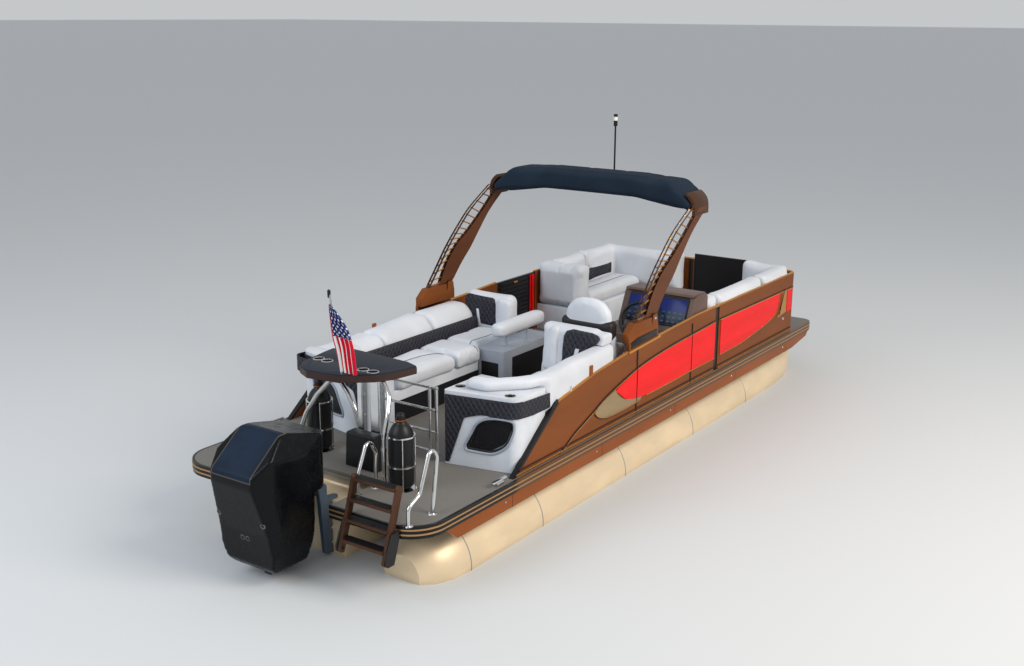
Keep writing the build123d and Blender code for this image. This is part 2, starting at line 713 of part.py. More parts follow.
# Helm
CONSOLE_WIDE = 800
CONSOLE_FORE = CONSOLE_AFT + CONSOLE_LONG
CONSOLE_IN = CONSOLE_WIDE - FENCE_IN
DASH_LOW = 520
DASH_HIGH = 850
CONSOLE_TALL = 870
DASH_AFT = CONSOLE_AFT + 130
DASH_FORE = DASH_AFT + 150
SCREEN_THICK = 15
SCREEN_WIDE = 300
SCREEN_INSET = 60
WHEEL_R = 185
WHEEL_RIM = 15

DASH_ANGLE = math.atan2(DASH_HIGH - DASH_LOW, DASH_FORE - DASH_AFT)
DASH = Plane(
    origin=(fwd((DASH_AFT + DASH_FORE) / 2), 0, up((DASH_LOW + DASH_HIGH) / 2)),
    x_dir=(0, -1, 0),
    z_dir=(-math.sin(DASH_ANGLE), 0, math.cos(DASH_ANGLE)),
)
with BuildPart() as helm_screens:
    for inset in (SCREEN_INSET, SCREEN_INSET + SCREEN_WIDE + SCREEN_INSET):
        outline(DASH, corners(FENCE_IN - inset - SCREEN_WIDE, FENCE_IN - inset, -100, 150, 12), SCREEN_THICK)

WHEEL_Y = CONSOLE_WIDE * 0.65 - FENCE_IN
WHEEL_STEM = 120
SPOKE_HALF = 6
WHEEL_PLANE = Plane(
    origin=DASH.origin + Vector(0, WHEEL_Y, 0) + DASH.z_dir * WHEEL_STEM + DASH.y_dir * -145,
    x_dir=(0, -1, 0),
    z_dir=DASH.z_dir,
)
STEM_LONG = WHEEL_STEM - SPOKE_HALF - GAP
with BuildPart() as helm_console:
    side(
        [(fwd(CONSOLE_AFT), DECK_TOP), (fwd(CONSOLE_AFT), up(DASH_LOW - 60), 40), (fwd(DASH_AFT), up(DASH_LOW)),
         (fwd(DASH_FORE), up(DASH_HIGH)), (fwd(DASH_FORE + 60), up(CONSOLE_TALL), 30),
         (fwd(CONSOLE_FORE), up(CONSOLE_TALL), 60), (fwd(CONSOLE_FORE), DECK_TOP)],
        -FENCE_IN, CONSOLE_IN,
    )
    with BuildSketch(WHEEL_PLANE.offset(-WHEEL_STEM)) as hub:
        Circle(28)
    extrude(hub.sketch, amount=STEM_LONG)

with BuildPart() as helm_wheel:
    with Locations(WHEEL_PLANE.location):
        Torus(WHEEL_R, WHEEL_RIM)
    with BuildSketch(WHEEL_PLANE) as spokes:
        for turn in (90, 210, 330):
            with Locations(Location((0, 0), turn)):
                with Locations((WHEEL_R / 2, 0)):
                    Rectangle(WHEEL_R, 30)
        Circle(45)
    extrude(spokes.sketch, amount=SPOKE_HALF, both=True)

CHAIR_SEAT = 430
CHAIR_TALL = 1100
CHAIR_HALF = 265
with BuildPart() as helm_pedestal:
    post(fwd(CHAIR_X), CHAIR_Y, DECK_TOP, up(25), 150)
    post(fwd(CHAIR_X), CHAIR_Y, up(25), up(CHAIR_SEAT - 90), 38)

with BuildPart() as helm_chair:
    block(
        fwd(CHAIR_X - 190), fwd(CHAIR_X + 240), CHAIR_Y - CHAIR_HALF, CHAIR_Y + CHAIR_HALF,
        up(CHAIR_SEAT - 90 + GAP), up(CHAIR_SEAT + 60), 120,
    )
    plan(
        [(fwd(CHAIR_X - 315), CHAIR_Y - 110, 60), (fwd(CHAIR_X - 190), CHAIR_Y - CHAIR_HALF, 40),
         (fwd(CHAIR_X - 120), CHAIR_Y - CHAIR_HALF), (fwd(CHAIR_X - 120), CHAIR_Y + CHAIR_HALF),
         (fwd(CHAIR_X - 190), CHAIR_Y + CHAIR_HALF, 40), (fwd(CHAIR_X - 315), CHAIR_Y + 110, 60)],
        up(CHAIR_SEAT - 30), up(CHAIR_TALL),
    )

# Arch: feet on the fence and a frame that leans forward to its crown
FOOT_SOLE = BACK_TALL + 15
FOOT_HIGH = 795
LEG_FOOT = 870
LEG_INSET = 26
LEG_OUT = FENCE_FACE - LEG_INSET
LEG_THICK = 36
EAR = 14
LUG_R = 44
ARCH_PIN = 12
LEG_IN = LEG_OUT - LEG_THICK
FOOT_OUT = LEG_OUT + SNUG + EAR
FOOT_INSIDE = LEG_IN - SNUG - EAR

with BuildPart() as arch_feet:
    for hand in (-1, 1):
        near, far = sorted((hand * FENCE_IN, hand * FENCE_FACE))
        side(
            [(fwd(FOOT_AFT), up(FENCE_TALL - FOOT_AFT_DROP)), (fwd(FOOT_FORE), up(FENCE_TALL - FOOT_FORE_DROP)),
             (fwd(FOOT_FORE), up(FOOT_SOLE)), (fwd(FOOT_AFT), up(FOOT_SOLE))],
            near, far,
        )
        near, far = sorted((hand * FOOT_INSIDE, hand * FOOT_OUT))
        side(
            [(fwd(FOOT_AFT), up(FOOT_SOLE)), (fwd(FOOT_FORE), up(FOOT_SOLE)), (fwd(FOOT_FORE), up(FOOT_HIGH)),
             (fwd(ARCH_X - 70), up(FOOT_HIGH)), (fwd(ARCH_X - 70), up(LEG_FOOT - SNUG)),
             (fwd(FOOT_AFT + 100), up(LEG_FOOT - SNUG)), (fwd(FOOT_AFT), up(FOOT_HIGH - 15))],
            near, far,
        )
        for inner in (FOOT_INSIDE, LEG_OUT + SNUG):
            near, far = sorted((hand * inner, hand * (inner + EAR)))
            side(
                [(fwd(ARCH_X - 55), up(FOOT_HIGH)), (fwd(ARCH_X + 55), up(FOOT_HIGH)),
                 (fwd(ARCH_X + 40), up(ARCH_UP + 40), 30), (fwd(ARCH_X - 40), up(ARCH_UP + 40), 30)],
                near, far,
            )
        near, far = sorted((hand * (FOOT_INSIDE + 1), hand * (FOOT_OUT - 1)))
        pin(fwd(ARCH_X), up(ARCH_UP), near, far, ARCH_PIN)

# forward and aft edges of the frame seen from the side: distance from the stern, height
BLADE_AFT = [(3420, LEG_FOOT), (3560, 1090), (3734, 1256), (3915, 1365), (4140, 1520), (4400, 1725), (4640, 1940)]
BLADE_FORE = [(3640, LEG_FOOT), (3800, 1040), (3965, 1185), (4110, 1340), (4310, 1540), (4560, 1720), (4800, 1900)]
STRIP_AFT = [(3235, LEG_FOOT), (3400, 1060), (3560, 1245), (3740, 1415), (3965, 1600), (4250, 1765), (4470, 1900)]
STRIP_WIDE = 38
CROWN_R = 3400
CROWN_UP = 1860
CROWN_CORNER = 240
BEND_UP = 1640
RUNG = 16


def from_side(points):
    """Frame points in the part's own X and Z."""
    return [(fwd(place), up(height)) for place, height in points]


def hoop(thick, drop):
    """The frame seen from the front: two legs, rounded shoulders and a crowned top."""
    rows = []
    for inset, turn in ((0, 1), (thick, -1)):
        half = LEG_OUT - inset
        crown = CROWN_UP - drop - inset
        shoulder = crown - 130
        line = [
            (-half, up(700), 0), (-half, up(shoulder), CROWN_CORNER - inset), (-half * 0.45, up(crown - 22), 700),
            (half * 0.45, up(crown - 22), 700), (half, up(shoulder), CROWN_CORNER - inset), (half, up(700), 0),
        ]
        rows += line[::turn]
    return rows


with BuildPart() as arch_frame:
    front(hoop(LEG_THICK, 0), fwd(STRIP_AFT[0][0] - 100), fwd(BLADE_FORE[-1][0] + 100))
    aft = from_side(STRIP_AFT)
    inner = [(x + STRIP_WIDE, z) for x, z in aft]
    rails = from_side(BLADE_AFT) + from_side(BLADE_FORE)[::-1]
    with BuildSketch(Plane.XZ.offset(-RAIL_FACE)) as shape:
        with BuildLine():
            Polyline(*rails, close=True)
        make_face()
        with BuildLine():
            Polyline(*(aft + inner[::-1]), close=True)
        make_face()
        for first, second in zip(STRIP_AFT[:-1], BLADE_AFT[:-1]):
            with BuildLine():
                Polyline(
                    (fwd(first[0]), up(first[1])), (fwd(second[0] + 10), up(second[1] + 5)),
                    (fwd(second[0] + 10), up(second[1] + 5 + RUNG)), (fwd(first[0]), up(first[1] + RUNG)), close=True,
                )
            make_face()
    extrude(shape.sketch, amount=2 * RAIL_FACE, mode=Mode.INTERSECT)

    for hand in (-1, 1):
        near, far = sorted((hand * LEG_IN, hand * LEG_OUT))
        side(
            [(fwd(ARCH_X - 50), up(LEG_FOOT + 20)), (fwd(ARCH_X - 40), up(ARCH_UP - 40), 36),
             (fwd(ARCH_X + 40), up(ARCH_UP - 40), 36), (fwd(ARCH_X + 50), up(LEG_FOOT + 20))],
            near, far,
        )
        pin(fwd(ARCH_X), up(ARCH_UP), near, far, ARCH_PIN + FIT, Mode.SUBTRACT)

BOOT_AFT = 4330
BOOT_FORE = 4790
BOOT_THICK = 180
BOOT_HALF = LEG_OUT - 44
BOOT_TOP = CROWN_UP + BOOT_THICK - 20
with BuildPart() as canopy_boot:
    crown = BOOT_TOP - BOOT_THICK + 10
    front(
        [(-BOOT_HALF, up(crown - 130)), (-BOOT_HALF * 0.45, up(crown - 20), 700), (BOOT_HALF * 0.45, up(crown - 20), 700),
         (BOOT_HALF, up(crown - 130)), (BOOT_HALF, up(crown - 60), 40), (BOOT_HALF * 0.82, up(BOOT_TOP - 30), 160),
         (BOOT_HALF * 0.45, up(BOOT_TOP), 700), (-BOOT_HALF * 0.45, up(BOOT_TOP), 700),
         (-BOOT_HALF * 0.82, up(BOOT_TOP - 30), 160), (-BOOT_HALF, up(crown - 60), 40)],
        fwd(BOOT_AFT), fwd(BOOT_FORE),
    )
    front(hoop(LEG_THICK, -GAP)[:6], fwd(BOOT_AFT) - 10, fwd(BOOT_FORE) + 10, Mode.SUBTRACT)

LIGHT_X = 4700
LIGHT_Y = -120
with BuildPart() as light_pole:
    post(fwd(LIGHT_X), LIGHT_Y, up(BOOT_TOP), up(2560), 9)
    post(fwd(LIGHT_X), LIGHT_Y, up(2480), up(2600), 20)

# Stern table on its tubes, with the flag
TABLE_LOW = 780
TABLE_HIGH = 850
# the board's edge: distance from the stern, distance to port
TABLE_EDGE = [
    (450, 200), (520, 340), (620, 395), (915, 453), (1045, 470), (1130, 300), (1100, -305), (1050, -435),
    (810, -390), (680, -315), (500, -100),
]
CUP_PLACES = [(745, 345), (738, 245), (719, -160), (718, -262)]
with BuildPart() as table_board:
    plan([(fwd(place), across) for place, across in TABLE_EDGE], up(TABLE_LOW), up(TABLE_HIGH))
    for place, across in CUP_PLACES:
        post(fwd(place), across, up(TABLE_HIGH - CUP_DEEP), up(TABLE_HIGH + 5), CUP_R, Mode.SUBTRACT)

TOWER_R = 19
# each tube's points, as distance from the stern, side and height above the deck, and its bend radii
TOWER_RODS = [
    ([(555, -500, -40), (555, -500, 390), (612, -500, 575), (690, -450, 700), (760, -310, 800)], [200, 200, 100]),
    ([(700, 645, -40), (700, 470, 370), (700, 340, 550), (700, 200, 690), (700, 20, 800)], [300, 300, 300]),
    ([(900, 50, -40), (900, 55, 230), (900, 100, 410), (900, 185, 555), (900, 420, 800)], [300, 300, 200]),
]
with BuildPart() as tow_tower:
    for points, bends in TOWER_RODS:
        rod([(fwd(place), across, up(height)) for place, across, height in points], TOWER_R, bends)
    block(fwd(820), fwd(900), -230, -130, DECK_TOP, up(TABLE_LOW), 12)
    block(fwd(820), fwd(880), -50, 10, DECK_TOP, up(TABLE_LOW), 12)
    for low, high in ((DECK_TOP - 100, DECK_TOP), (up(TABLE_LOW), up(TABLE_LOW + 100))):
        block(fwd(400), fwd(1200), -700, 800, low, high, mode=Mode.SUBTRACT)

FLAG_X = 540
POLE_R = 9
FLAG_TOP = 1510
FLAG_THICK = 32
# the hanging flag seen from the stern: side, height above the deck
FLAG_EDGE = [
    (4, 1395), (-25, 1420), (-110, 1345), (-195, 1245), (-262, 1095), (-274, 872), (-90, 868), (-55, 1040), (-18, 1200),
]
with BuildPart() as flag_pole:
    rod([(fwd(FLAG_X), -94, up(TABLE_HIGH - 20)), (fwd(FLAG_X), 15, up(FLAG_TOP))], POLE_R, [])
    block(fwd(FLAG_X - 50), fwd(FLAG_X + 50), -200, 50, up(TABLE_LOW), up(TABLE_HIGH), mode=Mode.SUBTRACT)

with BuildPart() as flag:
    flag_face = fwd(FLAG_X) - POLE_R
    front([(y, up(z)) for y, z in FLAG_EDGE], flag_face - FLAG_THICK, flag_face)

# Fenders in their racks
FENDER_R = 100
WIRE_R = 6
FENDER_TALL = 620
FENDER_PLACES = [(865, 475), (590, -648)]
with BuildPart() as fenders:
    for place, across in FENDER_PLACES:
        post(fwd(place), across, up(4), up(FENDER_TALL), FENDER_R)
    fillet(fenders.edges().filter_by(GeomType.CIRCLE), 45)

RING_R = FENDER_R + WIRE_R + 1
with BuildPart() as fender_racks:
    for place, across in FENDER_PLACES:
        post(fwd(place), across, DECK_TOP, up(4), RING_R + WIRE_R)
        for height in (200, 440):
            post(fwd(place), across, up(height - WIRE_R), up(height + WIRE_R), RING_R + WIRE_R)
            post(fwd(place), across, up(height - WIRE_R - 1), up(height + WIRE_R + 1), RING_R - WIRE_R, Mode.SUBTRACT)
        for turn in (45, 135, 225, 315):
            x = fwd(place) + RING_R * math.cos(math.radians(turn))
            y = across + RING_R * math.sin(math.radians(turn))
            post(x, y, up(2), up(440), WIRE_R - 1)

BIN_TALL = 300
with BuildPart() as stern_bin:
    front(
        [(-290, DECK_TOP), (50, DECK_TOP), (30, up(BIN_TALL), 15), (-260, up(BIN_TALL), 15)], fwd(700), fwd(812)
    )

RAIL_R = 16
# distance from the stern, height above the deck
OUTER_LOOP = [(60, -20), (60, 140), (190, 200), (330, 550), (400, 430), (337, -20)]
INNER_LOOP = [(269, -20), (275, 170), (400, 440), (490, 290), (479, -20)]
with BuildPart() as hand_rails:
    for across, points, bends in (
        (145 - RAIL_FACE, OUTER_LOOP, [60, 60, 45, 60]), (-WELL_HALF - 55, INNER_LOOP, [60, 45, 60]),
    ):
        rod([(fwd(place), across, up(height)) for place, height in points], RAIL_R, bends)
    block(fwd(0), fwd(600), -RAIL_FACE, -WELL_HALF, up(-100), DECK_TOP, mode=Mode.SUBTRACT)

CLEAT_LONG = 190
with BuildPart() as cleats:
    for hand in (-1, 1):
        for place, across in ((fwd(1080), RAIL_FACE - 60), (BOW - 260, RAIL_FACE - 330)):
            middle = hand * across
            block(place - 45, place + 45, middle - 17, middle + 17, DECK_TOP, up(32), 8)
            block(
                place - CLEAT_LONG / 2, place + CLEAT_LONG / 2, middle - 12, middle + 12, up(32), up(50), 10
            )

# Boarding ladder, folded up at the stern
LADDER_IN = -640
LADDER_OUT = -1090
LADDER_RAIL = 26
LADDER_DEEP = 58
LADDER_LONG = 560
TREAD_DEEP = 84
TREAD_THICK = 24
TREAD_COUNT = 4
LADDER_LEAN = math.radians(72)
ALONG = Vector(math.cos(LADDER_LEAN), 0, math.sin(LADDER_LEAN))
LADDER_PIN = 10
LADDER_FOOT = Vector(fwd(LADDER_X), 0, up(LADDER_UP))

with BuildPart() as ladder_bracket:
    for y_low, y_high in ((LADDER_IN + SNUG, LADDER_IN + SNUG + 16), (LADDER_OUT - SNUG - 16, LADDER_OUT - SNUG)):
        side(
            [(STERN, up(-20)), (STERN, up(-RAIL_TALL)), (STERN - 60, up(LADDER_UP - 35)),
             (fwd(LADDER_X - 30), up(LADDER_UP - 35), 25), (fwd(LADDER_X - 30), up(LADDER_UP + 25), 25),
             (STERN - 70, up(-30))],
            y_low, y_high,
        )
    pin(fwd(LADDER_X), up(LADDER_UP), LADDER_IN - LADDER_RAIL - 10, LADDER_IN + SNUG + 1, LADDER_PIN)
    pin(fwd(LADDER_X), up(LADDER_UP), LADDER_OUT - SNUG - 1, LADDER_OUT + LADDER_RAIL + 10, LADDER_PIN)

with BuildPart() as ladder:
    across = Vector(-ALONG.Z, 0, ALONG.X)
    low = LADDER_FOOT - ALONG * 35
    high = LADDER_FOOT + ALONG * LADDER_LONG
    for y_low, y_high in ((LADDER_IN - LADDER_RAIL, LADDER_IN), (LADDER_OUT, LADDER_OUT + LADDER_RAIL)):
        side(
            [((low + across * LADDER_DEEP / 2).X, (low + across * LADDER_DEEP / 2).Z, 20),
             ((high + across * LADDER_DEEP / 2).X, (high + across * LADDER_DEEP / 2).Z, 20),
             ((high - across * LADDER_DEEP / 2).X, (high - across * LADDER_DEEP / 2).Z, 20),
             ((low - across * LADDER_DEEP / 2).X, (low - across * LADDER_DEEP / 2).Z, 20)],
            y_low, y_high,
        )
    for number in range(TREAD_COUNT):
        spot = LADDER_FOOT + ALONG * (70 + number * (LADDER_LONG - 100) / (TREAD_COUNT - 1))
        block(
            spot.X - TREAD_DEEP / 2, spot.X + TREAD_DEEP / 2, LADDER_OUT + LADDER_RAIL - 2, LADDER_IN - LADDER_RAIL + 2,
            spot.Z - TREAD_THICK / 2, spot.Z + TREAD_THICK / 2,
        )
    pin(fwd(LADDER_X), up(LADDER_UP), LADDER_OUT - 1, LADDER_IN + 1, LADDER_PIN + FIT, Mode.SUBTRACT)

# Outboard: clamp bracket, swivel bracket, cowl, engine, leg and propeller
CLAMP_IN = 130
CLAMP_THICK = 45
CLAMP_OUT = CLAMP_IN + CLAMP_THICK
SWIVEL_HALF = CLAMP_IN - SNUG
BARREL = 60
BARREL_LOW = -480
BOSS_TALL = 30
with BuildPart() as clamp_bracket:
    for hand in (-1, 1):
        near, far = sorted((hand * CLAMP_IN, hand * CLAMP_OUT))
        side(
            [(fwd(TILT_X - 52), up(TILT_UP + 48), 40), (fwd(TILT_X + 48), up(TILT_UP + 48), 40),
             (fwd(TILT_X + 48), up(TILT_UP - 70), 10), (fwd(POD_AFT + 70), up(POD_TOP + 30), 10),
             (fwd(POD_AFT + 70), up(POD_TOP)), (fwd(POD_AFT), up(POD_TOP)),
             (fwd(POD_AFT), up(-560)), (fwd(POD_AFT - 90), up(-560), 40), (fwd(TILT_X - 30), up(-100), 60)],
            near, far,
        )
    pin(fwd(TILT_X), up(TILT_UP), -CLAMP_OUT, CLAMP_OUT, PIN_R)

with BuildPart() as swivel_bracket:
    side(
        [(fwd(TILT_X - 44), up(TILT_UP + 40), 38), (fwd(TILT_X + 40), up(TILT_UP + 40), 38),
         (fwd(TILT_X + 40), up(TILT_UP - 40), 38), (fwd(TILT_X - 40), up(-110)),
         (fwd(STEER_X + 62), up(BARREL_LOW) + GAP), (fwd(STEER_X), up(BARREL_LOW) + GAP), (fwd(STEER_X), up(-60))],
        -36, 36,
    )
    post(fwd(STEER_X), 0, up(BARREL_LOW) + GAP, up(-60), BARREL)
    side(
        [(fwd(TILT_X - 40), up(TILT_UP + 38), 36), (fwd(TILT_X + 38), up(TILT_UP + 38), 36),
         (fwd(TILT_X + 38), up(TILT_UP - 38), 36), (fwd(TILT_X - 60), up(TILT_UP - 60), 20)],
        -SWIVEL_HALF, SWIVEL_HALF,
    )
    pin(fwd(TILT_X), up(TILT_UP), -SWIVEL_HALF - 1, SWIVEL_HALF + 1, PIN_R + FIT, Mode.SUBTRACT)

# the cowl seen from the side: distance from the stern, height, corner radius
COWL_ROWS = [
    (262, 475, 45), (-250, 605, 30), (-570, 345, 25), (-575, 250, 30), (-470, -150, 60), (-430, -420, 30),
    (-380, -480, 30), (-60, -480, 30), (0, -150, 60), (8, 66, 20), (265, 66, 40),
]
# the cowl seen from the front: half width, height, corner radius
COWL_HALF = [(90, 605, 30), (215, 590, 60), (295, 420, 90), (300, 60, 200), (285, -300, 200), (235, -480, 60)]
COWL_NOSE = [(-600, 205, 60), (-420, 290, 300), (-100, 300, 400), (120, 262, 160), (270, 120, 90)]


def both_sides(rows):
    """A closed outline from the rows of its port half and their mirror."""
    return [(y, up(z), r) for y, z, r in rows] + [(-y, up(z), r) for y, z, r in rows[::-1]]


with BuildPart() as cowl:
    side([(fwd(x), up(z), r) for x, z, r in COWL_ROWS], -320, 320)
    front(both_sides(COWL_HALF), fwd(-600), fwd(300), Mode.INTERSECT)
    half_plan = [(fwd(x), y, r) for x, y, r in COWL_NOSE]
    plan(half_plan + [(x, -y, r) for x, y, r in half_plan[::-1]], up(-500), up(620), Mode.INTERSECT)
    block(fwd(-420), fwd(90), -190, 190, up(100), up(420), mode=Mode.SUBTRACT)

with BuildPart() as engine_block:
    block(fwd(-420), fwd(90), -190, 190, up(100), up(420))

# Leg below the cowl: upper yoke, shaft housing, plate, gearcase and skeg
PLATE_Z = -730
SHAFT_Z = -940
TORPEDO_R = 72
TORPEDO_AFT = -400
TORPEDO_FORE = 120
HUB_R = 62
PROP_R = 200
HUB_LONG = 160
LEG_ROWS = [(0, -480), (-30, -700), (30, PLATE_Z), (20, SHAFT_Z), (-60, -1240), (-190, -1230), (-250, SHAFT_Z), (-260, PLATE_Z), (-250, -480)]
with BuildPart() as drive_leg:
    side([(fwd(x), up(z)) for x, z in LEG_ROWS], -34, 34)
    plan(
        [(fwd(60), 0, 0), (fwd(-60), 40, 60), (fwd(-330), 105, 60), (fwd(-560), 120, 40), (fwd(-560), -120, 40),
         (fwd(-330), -105, 60), (fwd(-60), -40, 60)],
        up(PLATE_Z - 8), up(PLATE_Z + 8),
    )
    with BuildSketch(Plane.XZ) as half:
        with BuildLine():
            Polyline(
                (fwd(TORPEDO_AFT), up(SHAFT_Z)), (fwd(TORPEDO_AFT), up(SHAFT_Z) + HUB_R),
                (fwd(TORPEDO_AFT + 160), up(SHAFT_Z) + TORPEDO_R), (fwd(TORPEDO_FORE - 190), up(SHAFT_Z) + TORPEDO_R),
                (fwd(TORPEDO_FORE - 60), up(SHAFT_Z) + TORPEDO_R * 0.62), (fwd(TORPEDO_FORE), up(SHAFT_Z)), close=True,
            )
        make_face()
    revolve(half.sketch, axis=Axis((0, 0, up(SHAFT_Z)), (1, 0, 0)))
    block(fwd(-240), fwd(STEER_X), -45, 45, up(BARREL_LOW - BOSS_TALL), up(BARREL_LOW))
    post(fwd(STEER_X), 0, up(BARREL_LOW - BOSS_TALL), up(BARREL_LOW), BARREL)

BLADE_ANGLE = 32
with BuildPart() as propeller:
    with BuildSketch(Plane.YZ.offset(fwd(TORPEDO_AFT) - GAP - HUB_LONG)) as hub:
        with Locations((0, up(SHAFT_Z))):
            Circle(HUB_R - 4)
    extrude(hub.sketch, amount=HUB_LONG)
    for turn in (0, 120, 240):
        across = Vector(0, math.cos(math.radians(turn)), math.sin(math.radians(turn)))
        root = Vector(fwd(TORPEDO_AFT) - HUB_LONG / 2 - GAP, 0, up(SHAFT_Z)) + across * (HUB_R - 20)
        blade_plane = Plane(
            origin=root,
            x_dir=Vector(math.cos(math.radians(BLADE_ANGLE)), 0, 0)
            + across.cross(Vector(1, 0, 0)) * math.sin(math.radians(BLADE_ANGLE)),
            z_dir=across,
        )
        with BuildSketch(blade_plane) as blade:
            RectangleRounded(130, 10, 4)
        extrude(blade.sketch, amount=PROP_R - HUB_R + 20)

pieces = {
    "tubes_outer": tubes_outer,
    "tube_centre": tube_centre,
    "deck_frame": deck_frame,
    "deck": deck,
    "rub_rail": rub_rail,
    "deck_skirts": deck_skirts,
    "motor_pod": motor_pod,
    "fence_starboard": fence_starboard,
    "fence_port": fence_port,
    "fence_inlays": fence_inlays,
    "fence_trim": fence_trim,
    "stern_gate": stern_gate,
    "port_gate": port_gate,
    "bow_gate": bow_gate,
    "gate_sockets": gate_sockets,
    "stern_pod_starboard": stern_pod_starboard,
    "stern_pod_port": stern_pod_port,
    "speakers": speakers,
    "quilted_bands": quilted_bands,
    "lounge_base": lounge_base,
    "lounge_seat": lounge_seat,
    "lounge_back": lounge_back,
    "lounge_quilt": lounge_quilt,
    "lounge_backrest": lounge_backrest,
    "armrest_cabinet": armrest_cabinet,
    "armrest_pad": armrest_pad,
    "chaise_base": chaise_base,
    "chaise_seat": chaise_seat,
    "chaise_back": chaise_back,
    "side_bolster": side_bolster,
    "bow_lounge_bases": bow_lounge_bases,
    "bow_lounge_seats": bow_lounge_seats,
    "bow_lounge_backs": bow_lounge_backs,
    "helm_console": helm_console,
    "helm_screens": helm_screens,
    "helm_wheel": helm_wheel,
    "helm_chair": helm_chair,
    "helm_pedestal": helm_pedestal,
    "arch_feet": arch_feet,
    "arch_frame": arch_frame,
    "canopy_boot": canopy_boot,
    "light_pole": light_pole,
    "table_board": table_board,
    "tow_tower": tow_tower,
    "flag_pole": flag_pole,
    "flag": flag,
    "fenders": fenders,
    "fender_racks": fender_racks,
    "stern_bin": stern_bin,
    "hand_rails": hand_rails,
    "cleats": cleats,
    "ladder_bracket": ladder_bracket,
    "ladder": ladder,
    "clamp_bracket": clamp_bracket,
    "swivel_bracket": swivel_bracket,
    "cowl": cowl,
    "engine_block": engine_block,
    "drive_leg": drive_leg,
    "propeller": propeller,
}

for label, piece in pieces.items():
    piece.part.label = label
    export_step(piece.part, f"parts/{label}.step")
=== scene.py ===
"""Looks of a three-tube pleasure boat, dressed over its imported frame.

Places are metres in the frame's own axes: +X to the bow, +Y to port, +Z up, with the origin on the
waterline amidships. The helpers aft() and high() take a distance from the stern edge and a height
above the deck, as the boat's maker would give them.
"""
import logging
import math
from dataclasses import dataclass, field
from enum import Enum
from typing import Callable, Iterable, Sequence

import bmesh
import bpy
from mathutils import Matrix, Vector
from mathutils.bvhtree import BVHTree


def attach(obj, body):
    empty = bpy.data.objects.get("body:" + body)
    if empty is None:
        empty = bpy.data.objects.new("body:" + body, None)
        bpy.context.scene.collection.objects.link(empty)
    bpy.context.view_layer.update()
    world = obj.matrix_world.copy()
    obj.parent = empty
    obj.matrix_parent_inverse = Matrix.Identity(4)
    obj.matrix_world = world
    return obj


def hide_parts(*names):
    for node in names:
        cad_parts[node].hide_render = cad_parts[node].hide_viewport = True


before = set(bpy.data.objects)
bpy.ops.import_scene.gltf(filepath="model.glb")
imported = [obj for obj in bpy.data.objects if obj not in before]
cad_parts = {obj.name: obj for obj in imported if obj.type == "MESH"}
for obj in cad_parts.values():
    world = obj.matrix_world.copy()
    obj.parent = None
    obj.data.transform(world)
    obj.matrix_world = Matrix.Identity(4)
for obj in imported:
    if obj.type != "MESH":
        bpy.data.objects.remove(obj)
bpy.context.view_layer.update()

UP = Vector((0.0, 0.0, 1.0))
# starboard, port
HANDS = (-1, 1)
LOG = logging.getLogger("boat")
logging.basicConfig(level=logging.INFO, format="%(name)s: %(message)s")

STERN_X = -3.81
DECK_Z = 0.58
FENCE_FACE = 1.25
FENCE_MIDDLE = 1.235
FENCE_IN = 1.22
Colour = tuple[float, float, float]
Point = tuple[float, float, float]
Row = tuple[float, ...]


def aft(distance: float) -> float:
    """X of a place measured forward from the stern edge."""
    return STERN_X + distance


def high(height: float) -> float:
    """Z of a place measured up from the deck."""
    return DECK_Z + height


def spot(distance: float, across: float, height: float) -> Vector:
    """A point from its distance from the stern edge, its side and its height above the deck."""
    return Vector((aft(distance), across, high(height)))


def sideways(hand: int) -> Vector:
    """The way out to one hand."""
    return Vector((0.0, float(hand), 0.0))


def span(hand: int, first: float, second: float) -> tuple[float, float]:
    """The starboard and the port end of a stretch between two distances on one hand."""
    return tuple(sorted((hand * first, hand * second)))


def tone(red: int, green: int, blue: int) -> Colour:
    """A colour from the usual 0 to 255 values, as the shaders take it."""
    parts = [value / 255.0 for value in (red, green, blue)]
    return tuple(part / 12.92 if part <= 0.04045 else ((part + 0.055) / 1.055) ** 2.4 for part in parts)


def shade(colour: Colour, share: float, lift: float = 0.0) -> Colour:
    """A darker or paler colour of the same hue."""
    return tuple(min(part * share + lift, 1.0) for part in colour)


def smooth_rows(rows: Sequence[Row], steps: int) -> list[Row]:
    """Fill a table of rows with in-between rows on a smooth curve through them.

    Args:
        rows: The rows that the curve passes through.
        steps: How many rows each gap becomes.

    Returns:
        The longer table.
    """
    filled = []
    for before, start, end, after in zip((rows[0], *rows), rows, rows[1:], (*rows[2:], rows[-1])):
        for step in range(steps):
            t = step / steps
            filled.append(tuple(
                0.5 * (2 * b + (c - a) * t + (2 * a - 5 * b + 4 * c - d) * t * t
                       + (3 * b - a - 3 * c + d) * t ** 3)
                for a, b, c, d in zip(before, start, end, after)
            ))
    filled.append(tuple(rows[-1]))
    return filled


def bent(points: Sequence[Vector], bend: float, steps: int = 6) -> list[Vector]:
    """Round the corners of a path.

    Args:
        points: The path's corners.
        bend: How far from each corner its curve starts.
        steps: How many points each curve has.

    Returns:
        The path's points.
    """
    path = [points[0]]
    for before, corner, after in zip(points[:-2], points[1:-1], points[2:]):
        back = before - corner
        ahead = after - corner
        reach = min(bend, back.length * 0.48, ahead.length * 0.48)
        start = corner + back.normalized() * reach
        end = corner + ahead.normalized() * reach
        for step in range(steps + 1):
            t = step / steps
            path.append(start * (1 - t) ** 2 + corner * 2 * t * (1 - t) + end * t * t)
    path.append(points[-1])
    return path


class Facing(Enum):
    """Which way a patterned surface faces, as the two axes that lie in it."""

    AFT = ("Y", "Z")
    SIDE = ("X", "Z")


